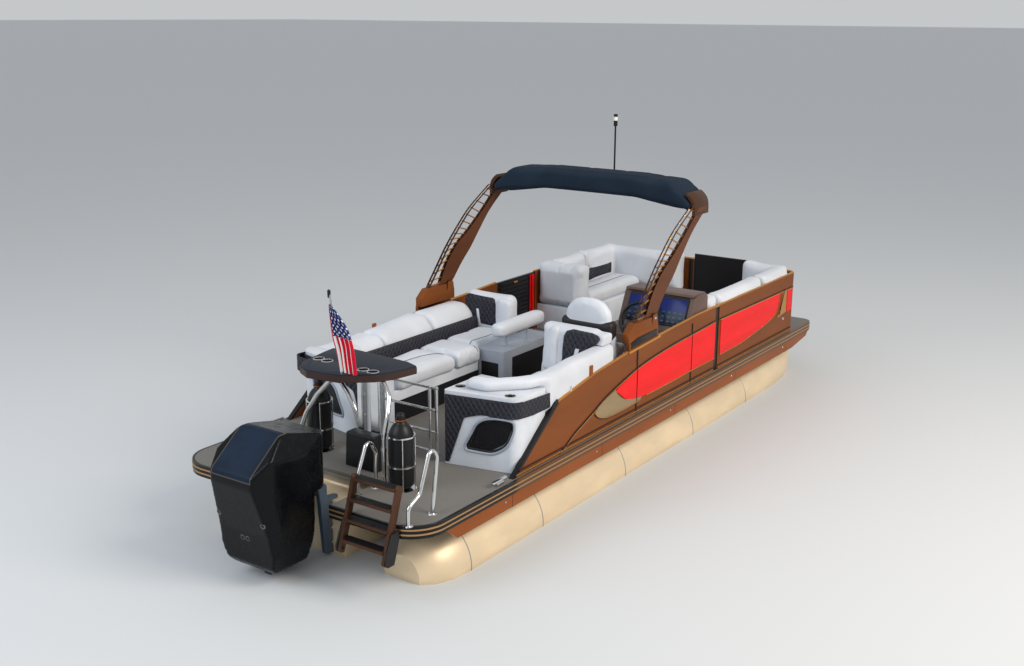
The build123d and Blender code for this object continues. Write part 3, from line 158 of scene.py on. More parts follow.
class Value:
    """A shader socket that joins in Python sums, with one Math node for each sign."""

    def __init__(self, recipe: "Recipe", socket: bpy.types.NodeSocket) -> None:
        """Keep the socket and the recipe that it belongs to."""
        self.recipe = recipe
        self.socket = socket

    def sum(self, kind: str, *ends: "Value | float") -> "Value":
        """One Math node of the kind named, over the values given."""
        return self.recipe.value("ShaderNodeMath", {"operation": kind}, dict(enumerate(ends)))

    def __add__(self, other: "Value | float") -> "Value":
        """The sum of two values."""
        return self.sum("ADD", self, other)

    def __sub__(self, other: "Value | float") -> "Value":
        """This value less another."""
        return self.sum("SUBTRACT", self, other)

    def __rsub__(self, other: "Value | float") -> "Value":
        """Another value less this one."""
        return self.sum("SUBTRACT", other, self)

    def __mul__(self, other: "Value | float") -> "Value":
        """The product of two values."""
        return self.sum("MULTIPLY", self, other)

    def __pow__(self, other: float) -> "Value":
        """This value to a power."""
        return self.sum("POWER", self, other)

    def __abs__(self) -> "Value":
        """This value without its sign."""
        return self.sum("ABSOLUTE", self)

    def wave(self) -> "Value":
        """The sine of this value."""
        return self.sum("SINE", self)

    def least(self, other: "Value") -> "Value":
        """The smaller of two values."""
        return self.sum("MINIMUM", self, other)

    def most(self, other: "Value") -> "Value":
        """The larger of two values."""
        return self.sum("MAXIMUM", self, other)

    def step(self, low: float, high_end: float) -> "Value":
        """A soft step from 0 to 1 between two values."""
        return self.recipe.value(
            "ShaderNodeMapRange", {"interpolation_type": "SMOOTHSTEP"},
            {0: self, 1: low, 2: high_end, 3: 0.0, 4: 1.0},
        )

    def band(self, low: float, high_end: float, soft: float) -> "Value":
        """1 between two values and 0 outside them, with soft ends."""
        return self.step(low - soft, low + soft) * (1.0 - self.step(high_end - soft, high_end + soft))


class Recipe:
    """The nodes of one material."""

    def __init__(self, name: str) -> None:
        """Start a material with its shader and the piece's own coordinates."""
        self.material = bpy.data.materials.new(name)
        self.material.use_nodes = True
        self.tree = self.material.node_tree
        self.shader = self.tree.nodes["Principled BSDF"]
        self.place = self.node("ShaderNodeTexCoord", {}, {}).outputs["Object"]

    def node(self, kind: str, settings: dict, sockets: dict) -> bpy.types.Node:
        """Add one node.

        Args:
            kind: The node's type.
            settings: Its properties, set before its sockets.
            sockets: What each socket holds, by name or number: a number, a colour or an output.

        Returns:
            The node.
        """
        made = self.tree.nodes.new(kind)
        for key, setting in settings.items():
            setattr(made, key, setting)
        for key, entry in sockets.items():
            source = entry.socket if isinstance(entry, Value) else entry
            if isinstance(source, bpy.types.NodeSocket):
                self.tree.links.new(source, made.inputs[key])
            else:
                made.inputs[key].default_value = source
        return made

    def value(self, kind: str, settings: dict, sockets: dict, output: int = 0) -> Value:
        """Add one node and wrap one of its outputs."""
        return Value(self, self.node(kind, settings, sockets).outputs[output])

    def axes(self) -> dict[str, Value]:
        """The piece's own X, Y and Z."""
        split = self.node("ShaderNodeSeparateXYZ", {}, {0: self.place})
        return {name: Value(self, split.outputs[number]) for number, name in enumerate("XYZ")}

    def stretched(self, scale: Point) -> bpy.types.NodeSocket:
        """The piece's coordinates, stretched along each axis."""
        return self.node("ShaderNodeMapping", {}, {"Vector": self.place, "Scale": scale}).outputs[0]

    def noise(self, scale: float, detail: float = 3.0, stretch: Point = (1.0, 1.0, 1.0)) -> Value:
        """Soft cloudy noise from 0 to 1."""
        return self.value(
            "ShaderNodeTexNoise", {}, {"Vector": self.stretched(stretch), "Scale": scale, "Detail": detail}
        )

    def cells(self, scale: float) -> Value:
        """Distance to the nearest of many scattered points."""
        return self.value("ShaderNodeTexVoronoi", {}, {"Vector": self.place, "Scale": scale})

    def mix(self, first: "Colour | Value", second: "Colour | Value", share: Value) -> Value:
        """A colour between two others."""
        ends = [(*end, 1.0) if isinstance(end, tuple) else end for end in (first, second)]
        return self.value("ShaderNodeMix", {"data_type": "RGBA"}, {0: share, 6: ends[0], 7: ends[1]}, 2)

    def give(self, socket: str, source: Value) -> None:
        """Link a value to one of the shader's sockets."""
        self.tree.links.new(source.socket, self.shader.inputs[socket])

    def bump(self, height: Value, depth: float, strength: float = 1.0) -> None:
        """Raise the surface by a height from 0 to 1, as deep as given in metres."""
        raised = self.value("ShaderNodeBump", {}, {"Strength": strength, "Distance": depth, "Height": height})
        self.give("Normal", raised)


@dataclass(frozen=True)
class Finish:
    """A plain finish for one of the record's material slots, and what every other finish starts from."""

    name: str
    slot: str
    colour: Colour
    roughness: float = 0.5
    metallic: float = 0.0
    coat: float = 0.0
    gloss: float = 0.3

    def dress(self, recipe: Recipe) -> None:
        """Give the surface a faint unevenness of shade and gloss."""
        cloud = recipe.noise(3.0)
        recipe.give("Base Color", recipe.mix(shade(self.colour, 0.86), self.colour, cloud.step(0.35, 0.6)))
        recipe.give("Roughness", recipe.noise(40.0) * 0.12 + (self.roughness - 0.06))

    def paint(self) -> bpy.types.Material:
        """The finish's material, made once."""
        made = bpy.data.materials.get(self.name)
        if made:
            return made
        recipe = Recipe(self.name)
        for socket, setting in (
            ("Base Color", (*self.colour, 1.0)), ("Roughness", self.roughness), ("Metallic", self.metallic),
            ("Coat Weight", self.coat), ("Coat Roughness", 0.08), ("Specular IOR Level", self.gloss),
        ):
            recipe.shader.inputs[socket].default_value = setting
        self.dress(recipe)
        return recipe.material


@dataclass(frozen=True)
class MetalPaint(Finish):
    """Metallic panel paint with fine flakes and a soft brushed direction along the boat."""

    flake: float = 900.0

    def dress(self, recipe: Recipe) -> None:
        """Scatter flakes in the colour and drift the shade along the panel."""
        flakes = recipe.cells(self.flake).step(0.1, 0.6)
        drift = recipe.noise(1.6, 4.0, (0.5, 1.0, 3.0)).step(0.3, 0.7)
        body = recipe.mix(shade(self.colour, 0.78), self.colour, drift)
        recipe.give("Base Color", recipe.mix(shade(self.colour, 1.3), body, flakes))
        recipe.give("Roughness", recipe.noise(60.0, 2.0, (0.1, 1.0, 1.0)) * 0.14 + (self.roughness - 0.07))
        recipe.bump(flakes, 0.0002, 0.25)


@dataclass(frozen=True)
class RailPaint(Finish):
    """Edge rail, black at the stern and bronze beside the fence, with two bright beads at set heights."""

    bead: Colour = (0.5, 0.3, 0.14)
    bronze: Colour = (0.10, 0.045, 0.018)
    # the middle of each bead above the deck, and half its width
    heights: tuple[float, ...] = (-0.03, -0.068)
    half: float = 0.0065

    def dress(self, recipe: Recipe) -> None:
        """Lay the bead colour where the rail's two beads stand."""
        up = recipe.axes()["Z"] - DECK_Z
        first, second = (up.band(height - self.half, height + self.half, 0.0008) for height in self.heights)
        mask = first.most(second)
        body = recipe.mix(self.colour, self.bronze, recipe.axes()["X"].step(aft(1.2), aft(1.3)))
        recipe.give("Base Color", recipe.mix(body, self.bead, mask))
        recipe.give("Metallic", mask * 0.85)
        recipe.give("Roughness", recipe.noise(30.0, 2.0, (0.2, 1.0, 1.0)) * 0.15 + 0.25)


@dataclass(frozen=True)
class TubeMetal(Finish):
    """Float metal with a fine grain along the tube, darker towards the bottom."""

    def dress(self, recipe: Recipe) -> None:
        """Draw the grain and the cloudy wash marks, and darken the metal towards the bottom."""
        grain = recipe.noise(180.0, 3.0, (0.03, 1.0, 1.0))
        wash = recipe.noise(2.2, 4.0, (1.0, 1.0, 2.5)).step(0.35, 0.75)
        height = recipe.axes()["Z"] + recipe.noise(5.0) * 0.05
        # the metal is painted darker towards the bottom, below about the tube's middle height
        lower_darkening = 1.0 - height.step(-0.02, 0.08)
        body = recipe.mix(shade(self.colour, 0.88), self.colour, wash)
        recipe.give("Base Color", recipe.mix(body, shade(self.colour, 0.6), lower_darkening * 0.7))
        recipe.give("Roughness", grain * 0.2 + (self.roughness - 0.1))
        recipe.bump(grain, 0.0006, 0.2)


@dataclass(frozen=True)
class Vinyl(Finish):
    """Seat vinyl with a fine leather grain and soft creases."""

    def dress(self, recipe: Recipe) -> None:
        """Emboss the grain and drift the shade a little."""
        grain = recipe.cells(420.0)
        crease = recipe.noise(9.0, 5.0)
        cloud = recipe.noise(2.0).step(0.35, 0.65)
        recipe.give("Base Color", recipe.mix(shade(self.colour, 0.9), self.colour, cloud))
        recipe.give("Roughness", grain * 0.15 + (self.roughness - 0.06))
        recipe.bump(grain * 0.15 + crease, 0.004, 0.35)


@dataclass(frozen=True)
class QuiltedVinyl(Finish):
    """Dark vinyl sewn in diamonds, with a paler thread along the seams."""

    facing: Facing = Facing.AFT
    pitch: float = 0.075
    thread: Colour = (0.13, 0.12, 0.13)
    wrapped: bool = False

    def dress(self, recipe: Recipe) -> None:
        """Puff the diamonds, sink the seams and lay the stitches in them."""
        axes = recipe.axes()
        across, along = (axes[name] for name in self.facing.value)
        if self.wrapped:
            across = axes["X"] - axes["Y"]
        turn = math.pi / self.pitch
        first = abs(((across * 1.35 + along) * turn).wave())
        second = abs(((across * 1.35 - along) * turn).wave())
        near = first.least(second)
        seam = 1.0 - near.step(0.03, 0.16)
        stitch = ((across + along * 0.31) * 420.0).wave().step(-0.1, 0.3)
        cloud = recipe.noise(5.0).step(0.3, 0.7)
        body = recipe.mix(self.colour, shade(self.colour, 1.5), cloud * near)
        recipe.give("Base Color", recipe.mix(body, self.thread, seam * (stitch * 0.6 + 0.4)))
        recipe.give("Roughness", recipe.cells(500.0) * 0.15 + self.roughness)
        recipe.bump((first * second) ** 0.5, 0.012, 0.9)


@dataclass(frozen=True)
class WovenDeck(Finish):
    """Woven deck covering in two crossing threads."""

    thread: float = 0.009

    def dress(self, recipe: Recipe) -> None:
        """Weave the threads and drift the shade."""
        axes = recipe.axes()
        turn = math.pi / self.thread
        warp = abs((axes["X"] * turn).wave())
        weft = abs((axes["Y"] * turn).wave())
        over = ((axes["X"] * turn * 0.5).wave() * (axes["Y"] * turn * 0.5).wave()).step(-0.2, 0.2)
        height = warp * over + weft * (1.0 - over)
        fleck = recipe.noise(320.0, 2.0).step(0.35, 0.7)
        cloud = recipe.noise(1.3, 4.0).step(0.3, 0.7)
        body = recipe.mix(shade(self.colour, 0.62), self.colour, height.step(0.05, 0.7))
        recipe.give("Base Color", recipe.mix(body, shade(self.colour, 1.2), fleck * 0.35 + cloud * 0.2))
        recipe.bump(height, 0.0015, 0.6)


@dataclass(frozen=True)
class Canvas(Finish):
    """Woven cover cloth with soft creases."""

    def dress(self, recipe: Recipe) -> None:
        """Weave the cloth, crease it and paint a sheen on it in paler patches."""
        axes = recipe.axes()
        weave = abs((axes["Y"] * 1800.0).wave()) * abs(((axes["X"] + axes["Z"]) * 1800.0).wave())
        crease = recipe.noise(5.0, 4.0, (2.5, 1.0, 2.5))
        # paler cloudy patches: a painted sheen on the cloth
        painted_sheen = recipe.noise(2.5).step(0.3, 0.75)
        pale = shade(self.colour, 1.5, 0.004)
        recipe.give("Base Color", recipe.mix(self.colour, pale, painted_sheen * 0.6 + weave * 0.2))
        recipe.bump(crease + weave * 0.05, 0.012, 0.5)


@dataclass(frozen=True)
class FlagCloth(Finish):
    """Striped flag cloth with a dotted corner, laid on the piece's own flat map."""

    stripe: Colour = (0.75, 0.74, 0.72)
    corner: Colour = (0.02, 0.03, 0.14)

    def dress(self, recipe: Recipe) -> None:
        """Lay the stripes down the cloth and the dotted field in its top corner."""
        flat = recipe.node("ShaderNodeUVMap", {"uv_map": "cut"}, {}).outputs[0]
        split = recipe.node("ShaderNodeSeparateXYZ", {}, {0: flat})
        across = Value(recipe, split.outputs[0])
        down = Value(recipe, split.outputs[1])
        stripes = (across * math.pi * 9.0).wave().step(-0.15, 0.15)
        field_mask = across.step(0.08, 0.1) * (1.0 - down.step(0.43, 0.44))
        dots = ((across * math.pi * 16.0).wave() * (down * math.pi * 26.0).wave()).step(0.35, 0.6)
        body = recipe.mix(self.stripe, self.colour, stripes)
        corner = recipe.mix(self.corner, self.stripe, dots)
        recipe.give("Base Color", recipe.mix(body, corner, field_mask))
        recipe.bump(recipe.noise(900.0, 2.0), 0.0006, 0.4)


@dataclass(frozen=True)
class ChartScreen(Finish):
    """A dark glass screen with faint contour lines over rows of marks glowing in it."""

    glow: Colour = (0.004, 0.01, 0.085)

    def dress(self, recipe: Recipe) -> None:
        """Light the contour lines and the rows of marks."""
        axes = recipe.axes()
        lines = 1.0 - abs((recipe.noise(9.0, 2.0) * 40.0).wave()).step(0.0, 0.25)
        upper = axes["Z"].step(high(0.70), high(0.71))
        levels = abs((axes["Z"] * 70.0).wave()).step(0.8, 0.9)
        rows = levels * abs((axes["Y"] * 50.0).wave()).step(0.6, 0.8)
        lit = recipe.mix((0.008, 0.014, 0.03), self.glow, upper)
        recipe.give("Base Color", lit)
        marks = lines * upper * 0.12 + rows * (1.0 - upper) * 0.35
        recipe.give("Emission Color", recipe.mix(lit, (0.12, 0.25, 0.5), marks))
        recipe.shader.inputs["Emission Strength"].default_value = 0.5


@dataclass(frozen=True)
class MeshGrille(Finish):
    """Punched speaker mesh."""

    facing: Facing = Facing.AFT
    pitch: float = 0.011

    def dress(self, recipe: Recipe) -> None:
        """Punch rows of dark holes."""
        axes = recipe.axes()
        across, along = (axes[name] for name in self.facing.value)
        turn = math.pi / self.pitch
        holes = (abs((across * turn).wave()) * abs((along * turn).wave())).step(0.35, 0.6)
        recipe.give("Base Color", recipe.mix(self.colour, (0.004, 0.004, 0.005), holes))
        recipe.bump(1.0 - holes, 0.002, 0.8)


@dataclass(frozen=True)
class CowlPaint(Finish):
    """Deep glossy engine cover paint over faint flakes."""

    def dress(self, recipe: Recipe) -> None:
        """Sink flakes under the gloss and mark it with spray."""
        flakes = recipe.cells(700.0).step(0.1, 0.5)
        recipe.give("Base Color", recipe.mix(shade(self.colour, 1.7, 0.001), self.colour, flakes))
        recipe.give("Roughness", recipe.noise(14.0, 5.0).step(0.45, 0.7) * 0.12 + self.roughness)


@dataclass(frozen=True)
class PanelledCowlPaint(CowlPaint):
    """Engine cover paint with a navy panel on the slope at the aft top, edged by a painted bronze highlight
    line.
    """

    panel: Colour = (0.006, 0.018, 0.044)
    # the colour of the painted highlight round the recessed panel
    edge: Colour = (0.09, 0.075, 0.06)
    # a point on the slope, as distance from the stern and height above the deck, and the way it faces
    origin: tuple[float, float] = (-0.25, 0.605)
    outward: tuple[float, float] = (-0.63, 0.777)
    half: float = 0.205

    def dress(self, recipe: Recipe) -> None:
        """Mark the slope out by how near its plane the surface lies, and paint a highlight round its panel.
        """
        axes = recipe.axes()
        across = abs(axes["Y"])
        ahead = axes["X"] - aft(self.origin[0])
        above = axes["Z"] - high(self.origin[1])
        rise = ahead * self.outward[0] + above * self.outward[1]
        low = axes["Z"].step(high(0.30), high(0.306))
        inside = rise.step(-0.052, -0.048) * low * (1.0 - across.step(self.half - 0.002, self.half + 0.002))
        core = rise.step(-0.044, -0.040) * axes["Z"].step(high(0.308), high(0.314))
        core = core * (1.0 - across.step(self.half - 0.01, self.half - 0.006))
        navy = recipe.mix(self.panel, shade(self.panel, 0.6), recipe.noise(2.5).step(0.3, 0.7))
        # the band round the panel's recess gets the painted highlight colour
        body = recipe.mix(self.colour, self.edge, inside)
        recipe.give("Base Color", recipe.mix(body, navy, core))
        spray = recipe.noise(14.0, 5.0).step(0.45, 0.7)
        recipe.give("Roughness", spray * 0.12 + core * 0.25 + self.roughness)


@dataclass(frozen=True)
class BrushedMetal(Finish):
    """Bright metal with a fine lengthwise polish."""

    def dress(self, recipe: Recipe) -> None:
        """Vary the gloss in fine marks."""
        marks = recipe.noise(220.0, 3.0, (1.0, 1.0, 0.08))
        spots = recipe.noise(7.0, 3.0).step(0.4, 0.8)
        recipe.give("Base Color", recipe.mix(self.colour, shade(self.colour, 0.82), spots))
        recipe.give("Roughness", marks * 0.1 + self.roughness)


COPPER = MetalPaint("copper_panel_paint", "fence_paint", tone(128, 73, 36), 0.45, 0.25, 0.0, 0.1)
COPPER_BRIGHT = MetalPaint("copper_rail_metal", "fence_paint", tone(206, 142, 70), 0.26, 0.8, 0.0)
COPPER_DARK = MetalPaint("copper_skirt_paint", "fence_paint", tone(150, 84, 42), 0.36, 0.4, 0.0, 0.1)
BRONZE_DARK = MetalPaint("dark_bronze_paint", "fence_paint", tone(78, 52, 38), 0.4, 0.35, 0.0, 0.15)
BLADE_BRONZE = MetalPaint("arch_blade_paint", "fence_paint", tone(102, 62, 40), 0.42, 0.3, 0.0, 0.12)
RED_INLAY = MetalPaint("red_inlay_paint", "inlay_paint", tone(232, 14, 16), 0.4, 0.0, 0.06, 0.15, 1400.0)
BLACK_TRIM = MetalPaint("black_trim_paint", "black_paint", tone(22, 21, 23), 0.36, 0.1, 0.0)
SILVER_GOLD = MetalPaint("silver_gold_badge_metal", "fence_paint", tone(172, 150, 112), 0.3, 0.8)
RAIL = RailPaint("edge_rail_paint", "rail_metal", tone(16, 15, 16), 0.3)
FLOAT = TubeMetal("float_metal", "tube_metal", tone(236, 214, 180), 0.4, 0.3)
FRAME_METAL = TubeMetal("frame_weld_metal", "tube_metal", tone(160, 160, 158), 0.5, 0.7)
# a cool white: its blue tint is partly painted sky light, as white vinyl shows in shade
WHITE_VINYL = Vinyl("white_seat_vinyl", "white_vinyl", tone(210, 214, 222), 0.46)
PIPING = Vinyl("dark_piping_vinyl", "white_vinyl", tone(40, 42, 50), 0.5)
BAND_VINYL = Vinyl("dark_band_vinyl", "quilted_vinyl", tone(34, 31, 34), 0.5)
QUILT_AFT = QuiltedVinyl("quilted_vinyl_aft", "quilted_vinyl", tone(34, 35, 45), 0.5, facing=Facing.AFT)
QUILT_SIDE = QuiltedVinyl("quilted_vinyl_side", "quilted_vinyl", tone(32, 33, 43), 0.5, facing=Facing.SIDE)
QUILT_WRAP = QuiltedVinyl("quilted_vinyl_wrapped", "quilted_vinyl", tone(34, 35, 45), 0.5, wrapped=True)
# a cool white: its blue tint is partly painted sky light, as white gelcoat shows in shade
GELCOAT = Finish("white_gelcoat", "gelcoat", tone(214, 219, 228), 0.24, 0.0, 0.5)
GREY_SHELL = Finish("grey_moulded_shell", "grey_plastic", tone(158, 165, 177), 0.4)
DECK_WEAVE = WovenDeck("woven_deck_cover", "deck_cover", tone(117, 114, 110), 0.85)
BOOT_CANVAS = Canvas("boot_canvas", "boot_fabric", tone(24, 36, 50), 0.85, gloss=0.15)
FLAG_CLOTH = FlagCloth("striped_flag_cloth", "flag_cloth", tone(200, 22, 44), 0.75, gloss=0.1)
SCREEN = ChartScreen("screen_glass", "screen", (0.01, 0.02, 0.06), 0.2, 0.0, 0.0, 0.2)
GRILLE = MeshGrille("speaker_mesh", "speaker_grille", tone(30, 30, 34), 0.35, 0.3)
CONSOLE_BROWN = Finish("console_moulding", "console_shell", tone(98, 78, 70), 0.42)
BLACK_MOULDING = Finish("black_moulding", "black_paint", tone(22, 22, 25), 0.45)
COWL_BLACK = PanelledCowlPaint("cowl_paint", "engine_paint", tone(7, 9, 13), 0.24, 0.0, 0.0, 0.16)
BRACKET_GREY = CowlPaint("bracket_casting_paint", "bracket_paint", tone(74, 88, 104), 0.35, 0.2)
LEG_BLACK = CowlPaint("leg_casting_paint", "leg_paint", tone(20, 22, 26), 0.3, 0.0, 0.2)
BOARD_NAVY = Finish("table_top_paint", "board_paint", tone(36, 42, 52), 0.5, gloss=0.15)
BOARD_EDGE = Finish("board_edge_paint", "board_paint", tone(66, 50, 47), 0.5, gloss=0.15)
LOCKER_BLACK = Finish("locker_panel_vinyl", "black_paint", tone(28, 27, 30), 0.6, gloss=0.15)
CHROME = BrushedMetal("polished_steel", "bright_metal", tone(214, 214, 214), 0.1, 1.0)
BRASS_LENS = BrushedMetal("amber_lens", "fender_cover", tone(150, 86, 40), 0.2, 0.6)
RUBBER = Finish("fender_rubber", "fender_cover", tone(20, 20, 22), 0.4)
CAST = Finish("cast_metal", "engine_paint", tone(110, 110, 108), 0.6, 0.6)
PROP = BrushedMetal("propeller_steel", "prop_metal", tone(170, 170, 168), 0.2, 1.0)
GREEN_LENS = Finish("green_lens", "bright_metal", tone(20, 130, 60), 0.1, 0.0, 1.0)
RED_LENS = Finish("red_lens", "bright_metal", tone(170, 16, 20), 0.1, 0.0, 1.0)
WHITE_LENS = Finish("white_lens", "bright_metal", tone(235, 235, 228), 0.15, 0.0, 1.0)


@dataclass
class Shape:
    """A mesh under work, shaped by bmesh operators."""

    bm: bmesh.types.BMesh = field(default_factory=bmesh.new)

    @classmethod
    def of(cls, node: str, width: float = 0.0, segments: int = 3, angle: float = 30.0) -> "Shape":
        """The form of a frame node as clean faces, with rounded edges where a width is given."""
        shape = cls()
        shape.bm.from_mesh(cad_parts[node].data)
        bmesh.ops.remove_doubles(shape.bm, verts=shape.bm.verts, dist=0.0002)
        bmesh.ops.dissolve_limit(
            shape.bm, angle_limit=math.radians(1.0), verts=shape.bm.verts[:], edges=shape.bm.edges[:]
        )
        if width:
            shape.bevel(width, segments, angle)
        return shape

    def take(self, part: "Shape") -> None:
        """Add another shape to this one."""
        mesh = bpy.data.meshes.new("part")
        part.bm.to_mesh(mesh)
        part.bm.free()
        self.bm.from_mesh(mesh)
        bpy.data.meshes.remove(mesh)

    def prism(self, points: Iterable[Point], push: Point) -> None:
        """Draw a face and pull it out into a solid."""
        face = self.bm.faces.new([self.bm.verts.new(point) for point in points])
        grown = bmesh.ops.extrude_face_region(self.bm, geom=[face])
        moved = [part for part in grown["geom"] if isinstance(part, bmesh.types.BMVert)]
        bmesh.ops.translate(self.bm, verts=moved, vec=push)

    def plan(self, rows: Sequence[Row], low: float, top: float) -> None:
        """A shape seen from above: rows of distance and side, between two heights above the deck."""
        self.prism([spot(row[0], row[1], low) for row in rows], (0.0, 0.0, top - low))

    def side(self, rows: Sequence[Row], near: float, far: float) -> None:
        """A shape seen from the side: rows of distance and height, between two sides."""
        self.prism([spot(row[0], near, row[1]) for row in rows], (0.0, far - near, 0.0))

    def front(self, rows: Sequence[Row], start: float, end: float) -> None:
        """A shape seen from the front: rows of side and height, between two distances."""
        self.prism([spot(start, row[0], row[1]) for row in rows], (end - start, 0.0, 0.0))

    def box(self, start: float, end: float, near: float, far: float, low: float, top: float) -> None:
        """A box in deck places."""
        self.plan([(start, near), (end, near), (end, far), (start, far)], low, top)

    def rod(self, points: Sequence[Vector], radius: float, bend: float = 0.0, sides: int = 14) -> None:
        """Sweep a round bar along a path by extruding its end ring from point to point."""
        path = bent(points, bend) if bend else points
        heading = (path[1] - path[0]).normalized()
        start = Matrix.Translation(path[0]) @ heading.to_track_quat("Z", "Y").to_matrix().to_4x4()
        ring = bmesh.ops.create_circle(
            self.bm, cap_ends=True, radius=radius, segments=sides, matrix=start
        )["verts"]
        edges = list({edge for vert in ring for edge in vert.link_edges})
        for number in range(1, len(path)):
            grown = bmesh.ops.extrude_edge_only(self.bm, edges=edges)["geom"]
            ring = [part for part in grown if isinstance(part, bmesh.types.BMVert)]
            edges = [part for part in grown if isinstance(part, bmesh.types.BMEdge)]
            bmesh.ops.translate(self.bm, verts=ring, vec=path[number] - path[number - 1])
            ahead = path[min(number + 1, len(path) - 1)] - path[number - 1]
            if ahead.length > 1e-6:
                turn = heading.rotation_difference(ahead.normalized())
                bmesh.ops.rotate(self.bm, verts=ring, cent=path[number], matrix=turn.to_matrix())
                heading = ahead.normalized()
        bmesh.ops.contextual_create(self.bm, geom=edges)

    def lathe(self, rows: Sequence[Row], centre: Vector, axis: Vector = UP, sides: int = 32) -> None:
        """Spin a profile of radius and distance along an axis into a round piece."""
        axis = axis.normalized()
        outward = axis.orthogonal().normalized()
        verts = [self.bm.verts.new(centre + axis * along + outward * radius) for radius, along in rows]
        edges = [self.bm.edges.new(pair) for pair in zip(verts[:-1], verts[1:])]
        bmesh.ops.spin(
            self.bm, geom=verts + edges, cent=centre, axis=axis, dvec=(0.0, 0.0, 0.0), angle=math.tau,
            steps=sides, use_merge=True,
        )
        bmesh.ops.remove_doubles(self.bm, verts=self.bm.verts, dist=1e-5)

    def loft(self, rings: Sequence[tuple[Vector, float, float]], sides: int = 48) -> None:
        """Bridge a row of upright round sections, given by centre, half width and half height."""
        loops = []
        for centre, wide, tall in rings:
            place = Matrix.Translation(centre) @ Matrix.Rotation(math.pi / 2, 4, "Y")
            made = bmesh.ops.create_circle(self.bm, radius=1.0, segments=sides, matrix=place)["verts"]
            bmesh.ops.scale(self.bm, verts=made, vec=(1.0, wide, tall), space=Matrix.Translation(-centre))
            loops.append(list({edge for vert in made for edge in vert.link_edges}))
        for first, second in zip(loops[:-1], loops[1:]):
            bmesh.ops.bridge_loops(self.bm, edges=first + second)
        for end in (loops[0], loops[-1]):
            bmesh.ops.contextual_create(self.bm, geom=end)

    def ribbon(
        self, path: Sequence[Vector], lows: Sequence[float], tops: Sequence[float], thick: float,
    ) -> None:
        """A thin wall along a path seen from above, between two heights that may change on the way."""
        rings = []
        for number, (point, low, top) in enumerate(zip(path, lows, tops)):
            run = path[min(number + 1, len(path) - 1)] - path[max(number - 1, 0)]
            out = Vector((run.y, -run.x, 0.0)).normalized() * thick
            corners = [(point, low), (point, top), (point + out, top), (point + out, low)]
            rings.append([self.bm.verts.new((place.x, place.y, high(height))) for place, height in corners])
        for first, second in zip(rings[:-1], rings[1:]):
            for side in range(4):
                after = (side + 1) % 4
                self.bm.faces.new((first[side], first[after], second[after], second[side]))
        self.bm.faces.new(rings[0])
        self.bm.faces.new(rings[-1])

    def between(self, low: float, top: float, axis: int = 0) -> "Shape":
        """Keep the stretch between two places on an axis, in the frame's own metres, with closed ends."""
        for value, sign in ((low, -1.0), (top, 1.0)):
            outward = Vector()
            outward[axis] = sign
            point = Vector()
            point[axis] = value
            cut = bmesh.ops.bisect_plane(
                self.bm, geom=self.bm.verts[:] + self.bm.edges[:] + self.bm.faces[:], plane_co=point,
                plane_no=outward, clear_outer=True,
            )
            rim = [part for part in cut["geom_cut"] if isinstance(part, bmesh.types.BMEdge)]
            bmesh.ops.holes_fill(self.bm, edges=rim)
        return self

    def bevel(
        self, width: float, segments: int = 3, angle: float = 30.0,
        chosen: Callable[[bmesh.types.BMEdge], bool] | None = None,
    ) -> None:
        """Round the edges that turn by more than an angle, or only the chosen ones of them."""
        edges = [
            edge for edge in self.bm.edges
            if len(edge.link_faces) == 2 and edge.calc_face_angle(0.0) > math.radians(angle)
            and (chosen is None or chosen(edge))
        ]
        bmesh.ops.bevel(
            self.bm, geom=edges, offset=width, offset_type="OFFSET", segments=segments, profile=0.5,
            affect="EDGES", material=-1, clamp_overlap=True,
        )

    def become(
        self, name: str, finish: Finish, stands_for: Sequence[str] = (), body: str = "boat", slot: str = "",
        smooth: float = 35.0,
    ) -> bpy.types.Object:
        """Make the finished piece.

        Args:
            name: The piece's name.
            finish: Its finish.
            stands_for: The frame nodes that it replaces.
            body: The body that it rides on.
            slot: The record's material slot, where it isn't the finish's own; not used.
            smooth: The angle in degrees above which an edge stays sharp.

        Returns:
            The new object.
        """
        bmesh.ops.recalc_face_normals(self.bm, faces=self.bm.faces[:])
        mesh = bpy.data.meshes.new(name)
        self.bm.to_mesh(mesh)
        self.bm.free()
        mesh.polygons.foreach_set("use_smooth", [True] * len(mesh.polygons))
        mesh.set_sharp_from_angle(angle=math.radians(smooth))
        mesh.materials.append(finish.paint())
        piece = bpy.data.objects.new(name, mesh)
        bpy.context.scene.collection.objects.link(piece)
        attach(piece, body)
        if stands_for:
            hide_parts(*stands_for)
        LOG.info("%s: %d faces", name, len(mesh.polygons))
        return piece


def dress(finish: Finish, *nodes: str) -> None:
    """Give frame nodes, whose own shape stays, a finish."""
    for name in nodes:
        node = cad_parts[name]
        if not node.material_slots:
            node.data.materials.append(finish.paint())
        for slot in node.material_slots:
            slot.material = finish.paint()
        LOG.info("%s dressed", name)


def settle(piece: bpy.types.Object) -> None:
    """Turn a piece's modifiers into its mesh."""
    graph = bpy.context.evaluated_depsgraph_get()
    finish = piece.data.materials[0]
    made = bpy.data.meshes.new_from_object(piece.evaluated_get(graph))
    piece.modifiers.clear()
    piece.data = made
    if not made.materials:
        made.materials.append(finish)
    made.polygons.foreach_set("use_smooth", [True] * len(made.polygons))


def even_out(piece: bpy.types.Object, voxel: float, rounds: int) -> None:
    """Rebuild a piece in even faces and relax them, as a moulded shell's edges run into each other."""
    remesh = piece.modifiers.new("even", "REMESH")
    remesh.mode = "VOXEL"
    remesh.voxel_size = voxel
    remesh.use_smooth_shade = True
    settle(piece)
    relax = piece.modifiers.new("relax", "SMOOTH")
    relax.factor = 0.5
    relax.iterations = rounds
    settle(piece)


